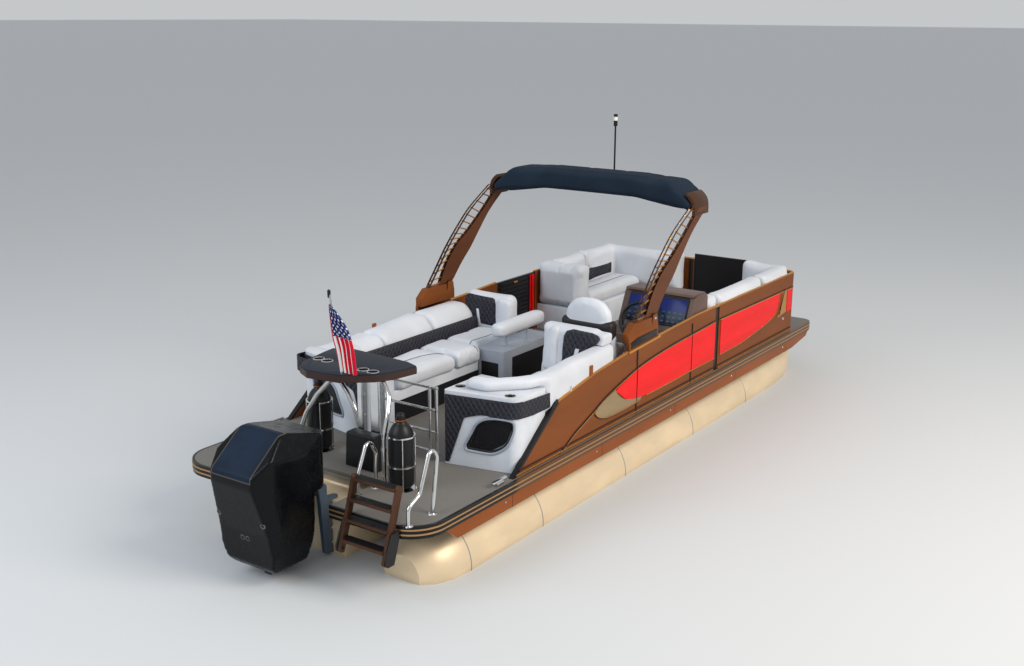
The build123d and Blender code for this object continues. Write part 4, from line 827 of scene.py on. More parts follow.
@dataclass
class Seam:
    """A sewn line on a pad, seen from above, with or without a dark cord in it."""

    # distance from the stern, distance from the middle
    points: Sequence[Row]
    depth: float = 0.008
    width: float = 0.014
    piped: bool = True

    def line(self) -> list[Vector]:
        """The seam's points in the frame's own metres."""
        return [Vector((aft(row[0]), row[1])) for row in self.points]

    def away(self, point: Vector, line: Sequence[Vector]) -> float:
        """How far a point lies from the seam."""
        place = point.xy
        nearest = 1.0
        for start, end in zip(line[:-1], line[1:]):
            run = end - start
            share = min(max((place - start).dot(run) / max(run.length_squared, 1e-9), 0.0), 1.0)
            nearest = min(nearest, (place - start - run * share).length)
        return nearest


@dataclass
class Pad:
    """A stuffed piece that waits for the shared simulation."""

    piece: bpy.types.Object
    rest: list[Vector]
    cap: float
    seams: Sequence[Seam]
    body: str


@dataclass
class Upholstery:
    """Every cushion, filled together in one run of the cloth solver."""

    voxel: float = 0.0195
    pressure: float = 4.0
    frames: int = 20
    # a seam is sewn where the cover faces up at least this much
    facing_up: float = 0.25
    cord: float = 0.0042
    cord_step: float = 0.006
    pads: list[Pad] = field(default_factory=list)

    def pad(
        self, shape: Shape, name: str, finish: Finish, stands_for: Sequence[str] = (), edge: float = 0.04,
        cap: float = 0.02, fill: float = 0.6, seams: Sequence[Seam] = (), fine: float = 0.0,
        body: str = "boat",
    ) -> None:
        """Round a shape's edges, remesh it evenly and keep it for filling.

        Args:
            shape: The cushion before it is filled.
            name: The piece's name.
            finish: Its cover.
            stands_for: The frame nodes that it replaces.
            edge: The radius of its edges.
            cap: How far a point may move as it fills.
            fill: How tightly it is stuffed, from 0 to 1; not used.
            seams: Its sewn lines.
            fine: The size of its faces, where it isn't the usual one.
            body: The body that it rides on.
        """
        shape.bevel(edge, 4)
        piece = shape.become(name, finish, stands_for, body)
        even_out(piece, fine or self.voxel, 3)
        rest = [vert.co.copy() for vert in piece.data.vertices]
        self.pads.append(Pad(piece, rest, cap, seams, body))

    def inflate(self) -> None:
        """Fill all the cushions at once, and stop each point at its cushion's cap."""
        scene = bpy.context.scene
        for pad in self.pads:
            cloth = pad.piece.modifiers.new("fill", "CLOTH")
            for key, value in (
                ("quality", 4), ("mass", 0.4), ("tension_stiffness", 12.0), ("compression_stiffness", 12.0),
                ("bending_stiffness", 2.0), ("use_pressure", True), ("uniform_pressure_force", self.pressure),
            ):
                setattr(cloth.settings, key, value)
            cloth.settings.effector_weights.gravity = 0.0
            cloth.collision_settings.use_collision = False
            cloth.point_cache.frame_start = 1
            cloth.point_cache.frame_end = self.frames
        for number in range(1, self.frames + 1):
            scene.frame_set(number)
        graph = bpy.context.evaluated_depsgraph_get()
        filled = []
        for pad in self.pads:
            mesh = pad.piece.evaluated_get(graph).data
            filled.append([vert.co.copy() for vert in mesh.vertices])
        for pad, ends in zip(self.pads, filled):
            pad.piece.modifiers.clear()
            for vert, start, end in zip(pad.piece.data.vertices, pad.rest, ends):
                move = end - start
                if move.length > pad.cap:
                    move = move.normalized() * pad.cap
                vert.co = start + move
        scene.frame_set(1)

    def sew(self, pad: Pad) -> None:
        """Sink a pad's seams."""
        mesh = pad.piece.data
        for seam in pad.seams:
            line = seam.line()
            for vert in mesh.vertices:
                if vert.normal.z < self.facing_up:
                    continue
                away = seam.away(vert.co, line)
                if away < seam.width * 3.0:
                    vert.co = vert.co - UP * seam.depth * math.exp(-((away / seam.width) ** 2))
        mesh.update()

    def pipe(self, pad: Pad) -> None:
        """Lay a thin dark cord along each piped seam, on the pad's own surface."""
        piped = [seam for seam in pad.seams if seam.piped]
        if not piped:
            return
        shell = bmesh.new()
        shell.from_mesh(pad.piece.data)
        tree = BVHTree.FromBMesh(shell)
        cords = Shape()
        for seam in piped:
            laid = []
            for place in smooth_rows([tuple(point) for point in seam.line()], 8):
                hit = tree.ray_cast(Vector((*place, 6.0)), -UP)[0]
                if hit is not None and (not laid or (hit - laid[-1]).length > self.cord_step):
                    laid.append(hit)
            if len(laid) > 2:
                cords.rod(laid, self.cord, 0.0, 6)
        shell.free()
        cords.become(pad.piece.name + "_piping", PIPING, (), pad.body)

    def finish(self) -> None:
        """Fill, sew and smooth every cushion."""
        self.inflate()
        for pad in self.pads:
            self.sew(pad)
            smooth = pad.piece.modifiers.new("smooth", "SUBSURF")
            smooth.levels = 1
            smooth.render_levels = 1
            settle(pad.piece)
            self.pipe(pad)
            LOG.info("%s: %d faces when filled", pad.piece.name, len(pad.piece.data.polygons))


@dataclass
class Studio:
    """Camera, floor and lights."""

    place: Point = (-9.94, -6.33, 4.19)
    yaw: float = 34.65
    pitch: float = -15.01
    roll: float = 0.35
    lens: float = 42.19
    floor_colour: Colour = (0.62, 0.64, 0.66)
    floor_size: float = 400.0
    sky_colour: Colour = (0.80, 0.82, 0.84)
    sky_strength: float = 0.7
    target: Point = (0.0, 0.0, 0.6)

    def camera(self) -> None:
        """Set the camera where the photograph was taken from."""
        yaw, pitch, roll = (math.radians(value) for value in (self.yaw, self.pitch, self.roll))
        ahead = Vector((math.cos(yaw) * math.cos(pitch), math.sin(yaw) * math.cos(pitch), math.sin(pitch)))
        right = Vector((math.sin(yaw), -math.cos(yaw), 0.0))
        above = right.cross(ahead)
        turned_right = right * math.cos(roll) + above * math.sin(roll)
        turned_above = above * math.cos(roll) - right * math.sin(roll)
        data = bpy.data.cameras.new("camera")
        data.lens = self.lens
        data.clip_end = 1000.0
        camera = bpy.data.objects.new("camera", data)
        turn = Matrix((turned_right, turned_above, -ahead)).transposed().to_4x4()
        camera.matrix_world = Matrix.Translation(self.place) @ turn
        bpy.context.scene.collection.objects.link(camera)
        bpy.context.scene.camera = camera

    def lamp(self, name: str, place: Point, size: float, power: float, colour: Colour) -> None:
        """Hang one square soft lamp that points at the boat's middle."""
        data = bpy.data.lights.new(name, "AREA")
        data.size = size
        data.energy = power
        data.color = colour
        lamp = bpy.data.objects.new(name, data)
        lamp.location = place
        lamp.rotation_euler = (Vector(self.target) - Vector(place)).to_track_quat("-Z", "Y").to_euler()
        bpy.context.scene.collection.objects.link(lamp)

    def build(self) -> None:
        """Make the whole studio."""
        self.camera()
        self.lamp("key", (-1.0, -12.0, 9.0), 7.0, 1500.0, (1.0, 0.91, 0.79))
        self.lamp("fill", (-12.0, 4.0, 8.0), 8.0, 700.0, (0.85, 0.93, 1.0))
        world = bpy.data.worlds.new("studio")
        world.use_nodes = True
        bpy.context.scene.world = world
        sky = world.node_tree.nodes["Background"].inputs
        sky["Color"].default_value = (*self.sky_colour, 1.0)
        sky["Strength"].default_value = self.sky_strength
        sheet = Shape()
        bmesh.ops.create_grid(sheet.bm, x_segments=1, y_segments=1, size=self.floor_size)
        mesh = bpy.data.meshes.new("floor")
        sheet.bm.to_mesh(mesh)
        sheet.bm.free()
        floor = bpy.data.objects.new("floor", mesh)
        bpy.context.scene.collection.objects.link(floor)
        paint = bpy.data.materials.new("floor")
        paint.use_nodes = True
        shader = paint.node_tree.nodes["Principled BSDF"].inputs
        shader["Base Color"].default_value = (*self.floor_colour, 1.0)
        shader["Roughness"].default_value = 0.8
        mesh.materials.append(paint)


@dataclass
class Hull:
    """The three float tubes, the frame on them and the motor pod."""

    radius: float = 0.343
    sink: float = 0.03
    outer_side: float = 0.90
    outer_aft: float = 0.68
    centre_aft: float = 1.00
    nose_x: float = 2.49
    # distance aft of the body's end, share of the radius
    tail: Sequence[Row] = ((0.41, 0.5), (0.33, 0.76), (0.18, 0.95), (0.0, 1.0))
    # distance forward of the body's end, share of the radius, rise of the centre
    nose: Sequence[Row] = (
        (0.0, 1.0, 0.0), (0.45, 0.95, 0.017), (0.85, 0.8, 0.069), (1.12, 0.52, 0.165), (1.27, 0.2, 0.27),
    )
    # how far ahead of the body's end the keel starts, and where it stops, from the stern
    keel_start: float = 0.22
    keel_end: float = 5.92
    keel_half: float = 0.02
    # a weld's section: height over the tube's skin, distance along it
    weld: Sequence[Row] = ((-0.002, -0.008), (0.0025, -0.003), (0.0025, 0.003), (-0.002, 0.008))
    welds: Sequence[float] = (-2.1, -0.7, 0.7, 2.0)

    def tube(self, shape: Shape, centre: float, start: float, tail: bool) -> None:
        """One float: its round sections, keel and two lifting strakes."""
        body = aft(start)
        rings = []
        if tail:
            rings += [(body - back, 0.0, share) for back, share in self.tail[:-1]]
        rings.append((body, 0.0, 1.0))
        rings += [(self.nose_x + ahead, rise, share) for ahead, share, rise in smooth_rows(self.nose, 4)]
        shape.loft([
            (Vector((place, centre, self.sink + rise)), self.radius * share, self.radius * share)
            for place, rise, share in rings
        ])
        low = self.sink - self.radius - DECK_Z
        ends = (start + self.keel_start, self.keel_end)
        keel = self.keel_half
        shape.box(*ends, centre - keel, centre + keel, low - keel, low + keel)
        foot = self.sink - self.radius * 0.5 - DECK_Z
        for hand in HANDS:
            edge = centre + hand * self.radius * 0.87
            out = edge + hand * 0.075
            rows = [(edge - hand * 0.045, foot - 0.02), (out, foot - 0.012), (out, foot),
                    (edge - hand * 0.03, foot + 0.07)]
            shape.front(rows, *ends)

    def rings(self, shape: Shape, centre: float, start: float) -> None:
        """The weld beads round a float."""
        rows = [(self.radius + over, along) for over, along in self.weld]
        for place in (*self.welds, aft(start) + 0.02):
            shape.lathe(rows, Vector((place, centre, self.sink)), Vector((1.0, 0.0, 0.0)), 48)

    def build(self) -> None:
        """Make the hull's pieces."""
        outer = Shape()
        welds = Shape()
        for hand in HANDS:
            self.tube(outer, hand * self.outer_side, self.outer_aft, True)
            self.rings(welds, hand * self.outer_side, self.outer_aft)
        outer.become("float_tubes_outer", FLOAT, ["tubes_outer"])
        centre = Shape()
        self.tube(centre, 0.0, self.centre_aft, False)
        self.rings(welds, 0.0, self.centre_aft)
        centre.become("float_tube_centre", FLOAT, ["tube_centre"])
        welds.become("float_welds", FRAME_METAL)
        Shape.of("motor_pod", 0.014).become("motor_pod_body", FLOAT, ["motor_pod"])
        dress(FRAME_METAL, "deck_frame")


@dataclass
class Deck:
    """Deck covering, edge rail, skirts and fittings on the deck."""

    skirt_places: Sequence[float] = (1.1, 2.5, 3.9, 5.3, 6.7)
    skirt_face: float = 1.285
    # the hand rails' feet: distance from the stern, distance from the middle
    rail_feet: Sequence[Row] = ((0.06, -1.15), (0.337, -1.15), (0.269, -0.475), (0.479, -0.475))

    def build(self) -> None:
        """Dress the deck and set its small fittings."""
        dress(DECK_WEAVE, "deck")
        dress(RAIL, "rub_rail")
        dress(COPPER_DARK, "deck_skirts")
        dress(CHROME, "gate_sockets", "hand_rails")
        dress(BLACK_MOULDING, "ladder_bracket")
        Shape.of("cleats", 0.006).become("cleat_horns", CHROME, ["cleats"])
        rivets = Shape()
        seams = Shape()
        for hand in HANDS:
            for place in self.skirt_places:
                rivets.lathe([(0.0, 0.004), (0.006, 0.003), (0.008, 0.0)],
                             spot(place, hand * self.skirt_face, -0.14), sideways(hand), 12)
                seams.box(place + 0.09, place + 0.093, hand * 1.2845, hand * 1.286, -0.213, -0.105)
        for foot in self.rail_feet:
            rivets.lathe([(0.016, 0.008), (0.03, 0.006), (0.036, 0.0)], spot(*foot, 0.0), UP, 24)
        rivets.become("deck_rivets_and_feet", CHROME)
        seams.become("skirt_joints", BLACK_TRIM)


@dataclass
class Fence:
    """Fence panels with their rails, inlays, accents and gates; some accent lines are painted highlights and
    painted shadows.
    """

    top: float = 0.69
    bow_face: float = 7.035
    # the port gate's way: first and last distance from the stern
    gate_way: Row = (4.5, 5.26)
    rail: float = 0.015
    inlay: float = 0.008
    # every table here: distance from the stern, height above the deck
    slope: Sequence[Row] = ((1.86, 0.462), (2.5, 0.568), (3.1, 0.622))
    rise: Sequence[Row] = ((3.66, 0.652), (4.48, 0.69))
    aft_top: Sequence[Row] = (
        (2.861, 0.315), (2.93, 0.346), (3.05, 0.376), (3.302, 0.430), (3.69, 0.472), (4.2, 0.503),
        (4.895, 0.530),
    )
    aft_low: Sequence[Row] = (
        (4.895, 0.15), (4.354, 0.148), (3.895, 0.14), (3.434, 0.138), (3.22, 0.156), (3.06, 0.185),
    )
    bow_top: Sequence[Row] = ((5.028, 0.535), (5.7, 0.532), (6.6, 0.523))
    bow_low: Sequence[Row] = (
        (6.6, 0.523), (6.5, 0.33), (6.3, 0.258), (5.98, 0.213), (5.55, 0.17), (5.028, 0.16),
    )
    bow_line: Sequence[Row] = ((5.0, 0.541), (6.97, 0.524))
    bow_end: Sequence[Row] = ((6.80, 0.519), (6.95, 0.519), (6.95, 0.261), (6.815, 0.255))
    glint: Sequence[Row] = ((6.67, 0.515), (6.79, 0.518), (6.80, 0.262), (6.55, 0.235), (6.63, 0.33))
    badge_top: Sequence[Row] = ((2.503, 0.215), (2.56, 0.245), (2.635, 0.275), (2.75, 0.306), (2.855, 0.33))
    badge_fore: Sequence[Row] = ((2.862, 0.312), (2.93, 0.25), (3.06, 0.187), (3.22, 0.158), (3.35, 0.142))
    badge_low: Sequence[Row] = ((3.32, 0.122), (3.0, 0.108), (2.72, 0.118), (2.567, 0.158), (2.503, 0.205))
    stern_strip: Sequence[Row] = ((1.234, 0.0), (1.274, 0.0), (1.89, 0.45), (1.90, 0.496), (1.852, 0.476))
    curve: Sequence[Row] = (
        (1.93, 0.0), (1.984, 0.023), (2.164, 0.111), (2.325, 0.169), (2.491, 0.228), (2.635, 0.283),
        (2.834, 0.34), (3.038, 0.388), (3.302, 0.441), (3.69, 0.483), (4.07, 0.507), (4.54, 0.525),
        (4.89, 0.541),
    )

    def rails(self) -> None:
        """The bright cap along the fence's top, broken at the arch's feet and the gates."""
        caps = Shape()
        for hand, turn in ((-1, -0.626), (1, 0.056)):
            y = hand * FENCE_MIDDLE
            caps.rod([spot(place, y, height) for place, height in self.slope], self.rail, 0.15)
            rising = [spot(place, y, height) for place, height in self.rise]
            corner = [spot(self.bow_face, y, self.top), spot(self.bow_face, turn, self.top)]
            if hand < 0:
                caps.rod([*rising, *corner], self.rail, 0.08)
            else:
                caps.rod(rising, self.rail)
                caps.rod([spot(self.gate_way[1], y, self.top), *corner], self.rail, 0.08)
        caps.become("fence_top_rails", COPPER_BRIGHT)

    def line(self, shape: Shape, rows: Sequence[Row], hand: int, wide: float, proud: float) -> None:
        """A thin raised line that follows a smooth curve on the fence's face."""
        curve = smooth_rows(rows, 6)
        upper = [(place, height + wide) for place, height in curve]
        near, far = span(hand, FENCE_FACE - 0.001, FENCE_FACE + proud)
        for number in range(len(curve) - 1):
            shape.side([curve[number], curve[number + 1], upper[number + 1], upper[number]], near, far)

    def inlays(self) -> None:
        """The red fields with their bright edges and dark lines, some of them painted highlights and painted
        shadows, and the badge metal at their aft end.
        """
        red = Shape()
        bright = Shape()
        dark = Shape()
        badge = Shape()
        # a painted shadow line under the badge
        shadow_under_badge = [(place, height - 0.018) for place, height in self.badge_low]
        # a painted highlight line just under the curve's painted shadow line
        highlight_under_curve = [(place, height - 0.008) for place, height in self.curve]
        for hand in HANDS:
            near, far = span(hand, FENCE_FACE - 0.002, FENCE_FACE + self.inlay)
            red.side(smooth_rows(self.aft_top, 6) + smooth_rows(self.aft_low, 6), near, far)
            red.side(smooth_rows(self.bow_top, 6) + smooth_rows(self.bow_low, 6)[1:], near, far)
            red.side(self.bow_end, near, far)
            edges = [*smooth_rows(self.badge_fore, 4), *smooth_rows(self.badge_low, 4)]
            badge.side([*self.badge_top, *edges], near, far)
            near, far = span(hand, 1.214, FENCE_FACE + 0.006)
            dark.side(self.stern_strip, near, far)
            # the glint is a painted highlight laid in bright metal
            bright.side(self.glint, near, far)
            # bright lines: copper trim, with the line under the curve a painted highlight; dark lines: black
            # trim, with the line along the curve and the one under the badge painted shadows
            for shape, rows, wide, proud in (
                (bright, self.aft_low[:4], -0.008, 0.012), (bright, self.badge_low, -0.008, 0.012),
                (dark, shadow_under_badge, 0.01, 0.008), (bright, self.bow_line, -0.008, 0.01),
                (dark, self.bow_line, 0.01, 0.009), (bright, self.bow_low, -0.008, 0.012),
                (bright, [(3.08, 0.612), (3.68, 0.645)], 0.022, 0.012), (dark, self.curve, 0.012, 0.009),
                (bright, highlight_under_curve, 0.006, 0.008), (dark, [(1.30, 0.04), (4.89, 0.04)], 0.01, 0.008),
                (bright, [(1.28, 0.012), (4.89, 0.012)], 0.014, 0.01),
                (dark, [(5.0, 0.04), (6.97, 0.04)], 0.01, 0.008),
                (bright, [(5.0, 0.012), (6.97, 0.012)], 0.014, 0.01),
                (dark, [(6.60, 0.26), (6.72, 0.53)], 0.012, 0.011),
            ):
                self.line(shape, rows, hand, wide, proud)
        for shape, name, finish, nodes in (
            (red, "red_inlays", RED_INLAY, ["fence_inlays"]), (bright, "inlay_edges_and_painted_highlights", COPPER_BRIGHT, ()),
            (dark, "dark_trim_and_painted_shadow_lines", BLACK_TRIM, ()), (badge, "inlay_badges", SILVER_GOLD, ()),
        ):
            self.clear_gate(shape)
            shape.become(name, finish, nodes)

    def clear_gate(self, shape: Shape) -> None:
        """Cut the port gate's way out of the trim on the port fence."""
        start, end = self.gate_way
        faces = [face for face in shape.bm.faces if face.calc_center_median().y > 0.0]
        edges = {edge for face in faces for edge in face.edges}
        verts = {vert for face in faces for vert in face.verts}
        geom = faces + list(edges) + list(verts)
        for place in (start, end):
            geom = bmesh.ops.bisect_plane(
                shape.bm, geom=geom, plane_co=spot(place, 0.0, 0.0), plane_no=(1.0, 0.0, 0.0)
            )["geom"]
        inside = [
            face for face in shape.bm.faces
            if face.calc_center_median().y > 0.0 and aft(start) < face.calc_center_median().x < aft(end)
        ]
        bmesh.ops.delete(shape.bm, geom=inside, context="FACES")
        bmesh.ops.holes_fill(shape.bm, edges=[edge for edge in shape.bm.edges if edge.is_boundary])

    def gates(self) -> None:
        """The ribbed port gate, the panelled bow gate and the stern gate's rails."""
        dress(CHROME, "stern_gate")
        dress(BLACK_TRIM, "port_gate", "bow_gate")
        ribs = Shape()
        for number in range(13):
            low = 0.06 + number * 0.048
            ribs.box(4.55, 5.10, 1.209, 1.2195, low, low + 0.03)
            ribs.box(4.55, 5.10, 1.2505, 1.256, low, low + 0.03)
        bars = Shape()
        for place in (5.145, 5.185, 5.212):
            bars.box(place - 0.009, place + 0.009, 1.205, 1.2195, 0.05, 0.672)
        handle = Shape()
        handle.box(4.80, 4.87, 1.196, 1.2095, 0.632, 0.656)
        panels = Shape()
        for number in range(4):
            low = 0.06 + number * 0.156
            panels.box(7.0265, 7.0345, -0.60, 0.015, low, low + 0.138)
            panels.box(7.0655, 7.0725, -0.60, 0.015, low, low + 0.138)
        plate = Shape()
        plate.box(7.0225, 7.027, -0.335, -0.255, 0.60, 0.622)
        post = Shape()
        post.box(7.010, 7.0195, 0.06, 0.11, 0.01, self.top)
        for shape, name, finish, body, edge, segments in (
            (ribs, "port_gate_ribs", BLACK_MOULDING, "port_gate", 0.003, 2),
            (bars, "port_gate_red_bars", RED_INLAY, "port_gate", 0.004, 2),
            (handle, "port_gate_handle", COPPER_BRIGHT, "port_gate", 0.005, 3),
            (panels, "bow_gate_panels", BLACK_MOULDING, "bow_gate", 0.006, 3),
            (plate, "bow_gate_plate", COPPER_BRIGHT, "bow_gate", 0.0, 0),
            (post, "bow_gate_post_cover", BLACK_MOULDING, "boat", 0.003, 2),
        ):
            if edge:
                shape.bevel(edge, segments)
            shape.become(name, finish, (), body)

    def build(self) -> None:
        """Make everything on the fence."""
        dress(COPPER, "fence_starboard", "fence_port")
        dress(BLACK_TRIM, "fence_trim")
        self.rails()
        self.inlays()
        self.gates()
        buttons = Shape()
        catches = Shape()
        for hand in HANDS:
            buttons.lathe([(0.0, 0.012), (0.014, 0.009), (0.018, 0.0)], spot(6.731, hand * FENCE_FACE, 0.191),
                          sideways(hand), 20)
            buttons.lathe([(0.0, 0.05), (0.012, 0.046), (0.014, 0.0)],
                          spot(2.118, hand * FENCE_MIDDLE, 0.505), UP, 16)
            catches.box(2.42, 2.47, hand * 1.225, hand * 1.247, 0.55, 0.655)
        buttons.become("fence_buttons", CHROME)
        catches.bevel(0.006, 3)
        catches.become("fence_catches", COPPER_DARK)


@dataclass
class SternShells:
    """The moulded shells each side of the stern gate, with their speakers and quilted bands."""

    face_x: float = 1.215
    slope: float = 0.2
    # side, inner edge
    shells: Sequence[tuple[int, float]] = ((-1, -0.57), (1, 0.24))
    # distance outward from the middle of the face, height above the deck
    speaker: Sequence[Row] = (
        (-0.125, 0.143), (0.0, 0.138), (0.11, 0.142), (0.19, 0.178), (0.255, 0.238), (0.295, 0.335),
        (0.302, 0.40), (0.285, 0.44), (0.21, 0.449), (0.11, 0.444), (0.03, 0.42), (-0.03, 0.375),
        (-0.075, 0.29), (-0.128, 0.19),
    )
    # the middle of the speaker, which its throat shrinks towards
    speaker_middle: Row = (0.09, 0.295)
    corner: float = 0.09
    # where the quilted band goes round the outer corner: distance from the stern, distance from the middle
    wrap: Sequence[Row] = (
        (1.285, 0.98), (1.339, 1.224), (1.56, 1.224), (1.84, 1.224), (2.12, 1.224), (2.33, 1.224),
    )
    # distance from the stern, low and top edge of the band there
    wrap_edges: Sequence[Row] = (
        (1.28, 0.462, 0.598), (1.40, 0.462, 0.596), (1.56, 0.447, 0.586), (1.84, 0.447, 0.571),
        (2.12, 0.535, 0.574), (2.34, 0.573, 0.577),
    )
    cups: Sequence[Row] = ((0.15, 0.06), (0.08, 0.54))

    def on_face(self, hand: int, inner: float, out: float, height: float, proud: float) -> Vector:
        """A point on a shell's aft face, from its distance outward from the middle."""
        wide = FENCE_IN - hand * inner
        root = math.hypot(1.0, self.slope)
        across = wide / 2 + out / root
        turn = max(0.0, out - (wide / 2 * root - self.corner * 0.82))
        fall = turn * turn / (2.0 * self.corner)
        return spot(self.face_x + self.slope * across - proud + fall, inner + hand * across, height)

    def edges_at(self, place: float) -> tuple[float, float]:
        """The band's low and top edge at a distance from the stern."""
        for first, second in zip(self.wrap_edges[:-1], self.wrap_edges[1:]):
            if place <= second[0]:
                share = max(place - first[0], 0.0) / (second[0] - first[0])
                return tuple(a + (b - a) * share for a, b in zip(first[1:], second[1:]))
        return self.wrap_edges[-1][1:]

    def build(self) -> None:
        """Make both shells."""
        for name in ("stern_pod_starboard", "stern_pod_port"):
            shell = Shape.of(name)
            shell.bevel(0.016, 4, 40.0, lambda edge: not math.isclose(
                (edge.verts[0].co.z + edge.verts[1].co.z) / 2, DECK_Z, abs_tol=0.01))
            shell.become(name.replace("pod", "shell"), GELCOAT, [name])
        rims = Shape()
        throats = Shape()
        rings = Shape()
        liners = Shape()
        wraps = Shape()
        outline = smooth_rows([*self.speaker, self.speaker[0]], 5)[:-1]
        middle, level = self.speaker_middle
        sunk = [(middle + (out - middle) * 0.92, level + (height - level) * 0.9) for out, height in outline]
        for hand, inner in self.shells:
            rim = [self.on_face(hand, inner, out, height, 0.002) for out, height in outline]
            throat = [self.on_face(hand, inner, out, height, -0.012) for out, height in sunk]
            for shape, path in ((rims, rim), (throats, throat)):
                shape.rod([*path, path[0], path[1]], 0.011, 0.0, 10)
            for ahead, out in self.cups:
                centre = spot(self.face_x + self.slope * out + ahead, inner + hand * out, 0.63)
                rings.lathe([(0.040, -0.004), (0.0415, 0.003), (0.047, 0.003), (0.050, 0.0)], centre)
                liners.lathe([(0.0408, 0.001), (0.0408, -0.047), (0.0, -0.0475)], centre)
            corner = bent([Vector((aft(x), hand * y, 0.0)) for x, y in self.wrap], 0.085, 10)
            lows, tops = zip(*(self.edges_at(point.x - STERN_X) for point in corner))
            wraps.ribbon(corner, lows, tops, hand * -0.006)
        wraps.become("shell_quilted_wraps", QUILT_WRAP)
        throats.become("speaker_throats", BLACK_MOULDING)
        liners.become("shell_cup_liners", BLACK_MOULDING)
        rims.become("speaker_rims", GREY_SHELL)
        rings.become("shell_cup_rings", CHROME)
        dress(GRILLE, "speakers")
        bands = Shape.of("quilted_bands", 0.006, 2)
        bands.become("shell_quilted_bands", QUILT_WRAP, ["quilted_bands"])


@dataclass
class Lounges:
    """Every cushion and base of the port lounge, the chaise and the bow lounges."""

    shop: Upholstery
    # half of the gap between two cushions
    part: float = 0.003
    # name, first and last distance from the stern, its sewn line
    seats: Sequence[tuple] = (
        ("aft", 1.70, 2.61, ((1.85, 0.60), (2.13, 0.595), (2.42, 0.555), (2.56, 0.43), (2.58, 0.315))),
        ("middle", 2.61, 3.0, ((2.93, 0.315), (2.96, 0.42), (3.10, 0.50), (3.35, 0.50))),
        ("fore", 3.0, 3.70, ((3.02, 0.52), (3.3, 0.5), (3.62, 0.5))),
    )
    backs: Sequence[tuple] = (("aft", 1.5, 2.2), ("middle", 2.2, 2.95), ("fore", 2.95, 3.66))
    # distance from the middle, height above the deck
    rest_quilt: Sequence[Row] = (
        (0.60, 0.45), (1.02, 0.45), (1.035, 0.73), (0.99, 0.782), (0.63, 0.765), (0.598, 0.73),
    )
    rest_wing: Sequence[Row] = (
        (0.425, 0.44), (0.59, 0.44), (0.59, 0.755), (0.56, 0.775), (0.45, 0.765), (0.425, 0.74),
    )
    rest_stripe: Sequence[Row] = ((0.80, 0.445), (0.835, 0.445), (0.86, 0.63), (0.825, 0.63))
    chaise_quilt: Sequence[Row] = (
        (-0.765, 0.47), (-0.765, 0.78), (-0.80, 0.85), (-0.86, 0.868), (-1.12, 0.862), (-1.16, 0.82),
        (-1.13, 0.765), (-1.055, 0.70), (-1.055, 0.47),
    )
    chaise_wing: Sequence[Row] = (
        (-0.575, 0.46), (-0.585, 0.76), (-0.64, 0.865), (-0.735, 0.87), (-0.745, 0.46),
    )
    chaise_stripe: Sequence[Row] = ((-0.925, 0.47), (-0.89, 0.47), (-0.925, 0.70), (-0.965, 0.70))

    def leaning(self, rows: Sequence[Row], proud: float, thick: float) -> Shape:
        """A slab on the chaise back's sloping face, from the sides and heights of its outline."""
        slab = Shape()
        outline = [spot(2.69 + (height - 0.44) * 0.133 + proud, across, height) for across, height in rows]
        slab.prism(outline, (thick, 0.0, 0.0))
        return slab

    def slab(self, rows: Sequence[Row], start: float, end: float) -> Shape:
        """An upright slab across the boat, from the sides and heights of its outline."""
        made = Shape()
        made.front(rows, start, end)
        return made

    def stretch(self, node: str, start: float, end: float) -> Shape:
        """The stretch of a node between two distances from the stern, less its share of the gaps."""
        return Shape.of(node).between(aft(start) + self.part, aft(end) - self.part)

    def bases(self) -> None:
        """The moulded bases and the armrest's cabinet."""
        for name, finish in (
            ("lounge_base", GELCOAT), ("chaise_base", GELCOAT), ("bow_lounge_bases", GELCOAT),
            ("armrest_cabinet", GREY_SHELL),
        ):
            Shape.of(name, 0.012).become(name + "_moulding", finish, [name])
        insets = Shape()
        insets.box(2.994, 3.002, 0.14, 0.34, 0.10, 0.30)
        insets.box(3.15, 3.75, 0.076, 0.082, 0.08, 0.34)
        insets.bevel(0.004, 2)
        insets.become("cabinet_door_panels", LOCKER_BLACK)
        kick = Shape()
        kick.box(1.70, 2.99, 0.372, 0.381, 0.0, 0.20)
        kick.become("lounge_kick_panel", LOCKER_BLACK)

    def port(self) -> None:
        """The port lounge's seats, rolled back, quilted foot, fore backrest and armrest."""
        pad = self.shop.pad
        for name, start, end, seam in self.seats:
            seat = self.stretch("lounge_seat", start, end)
            pad(seat, "lounge_seat_" + name, WHITE_VINYL, ["lounge_seat"], 0.045, seams=[Seam(seam)])
        for name, start, end in self.backs:
            roll = self.stretch("lounge_back", start, end)
            pad(roll, "lounge_back_" + name, WHITE_VINYL, ["lounge_back"], 0.07)
        pad(Shape.of("lounge_quilt"), "lounge_back_quilt", QUILT_SIDE, ["lounge_quilt"], 0.012, 0.006)
        rest = Shape.of("lounge_backrest").between(aft(3.648), aft(3.80))
        pad(rest, "lounge_backrest_frame", WHITE_VINYL, ["lounge_backrest"], 0.05)
        pad(self.slab(self.rest_quilt, 3.622, 3.67), "lounge_backrest_quilt", QUILT_AFT, (), 0.018, 0.008)
        pad(self.slab(self.rest_wing, 3.59, 3.70), "lounge_backrest_wing", WHITE_VINYL, (), 0.035, 0.012)
        stripe = self.slab(self.rest_stripe, 3.612, 3.64)
        stripe.bevel(0.006, 2)
        stripe.become("lounge_backrest_stripe", WHITE_VINYL)
        pad(Shape.of("armrest_pad"), "armrest_cushion", WHITE_VINYL, ["armrest_pad"], 0.04, 0.01)

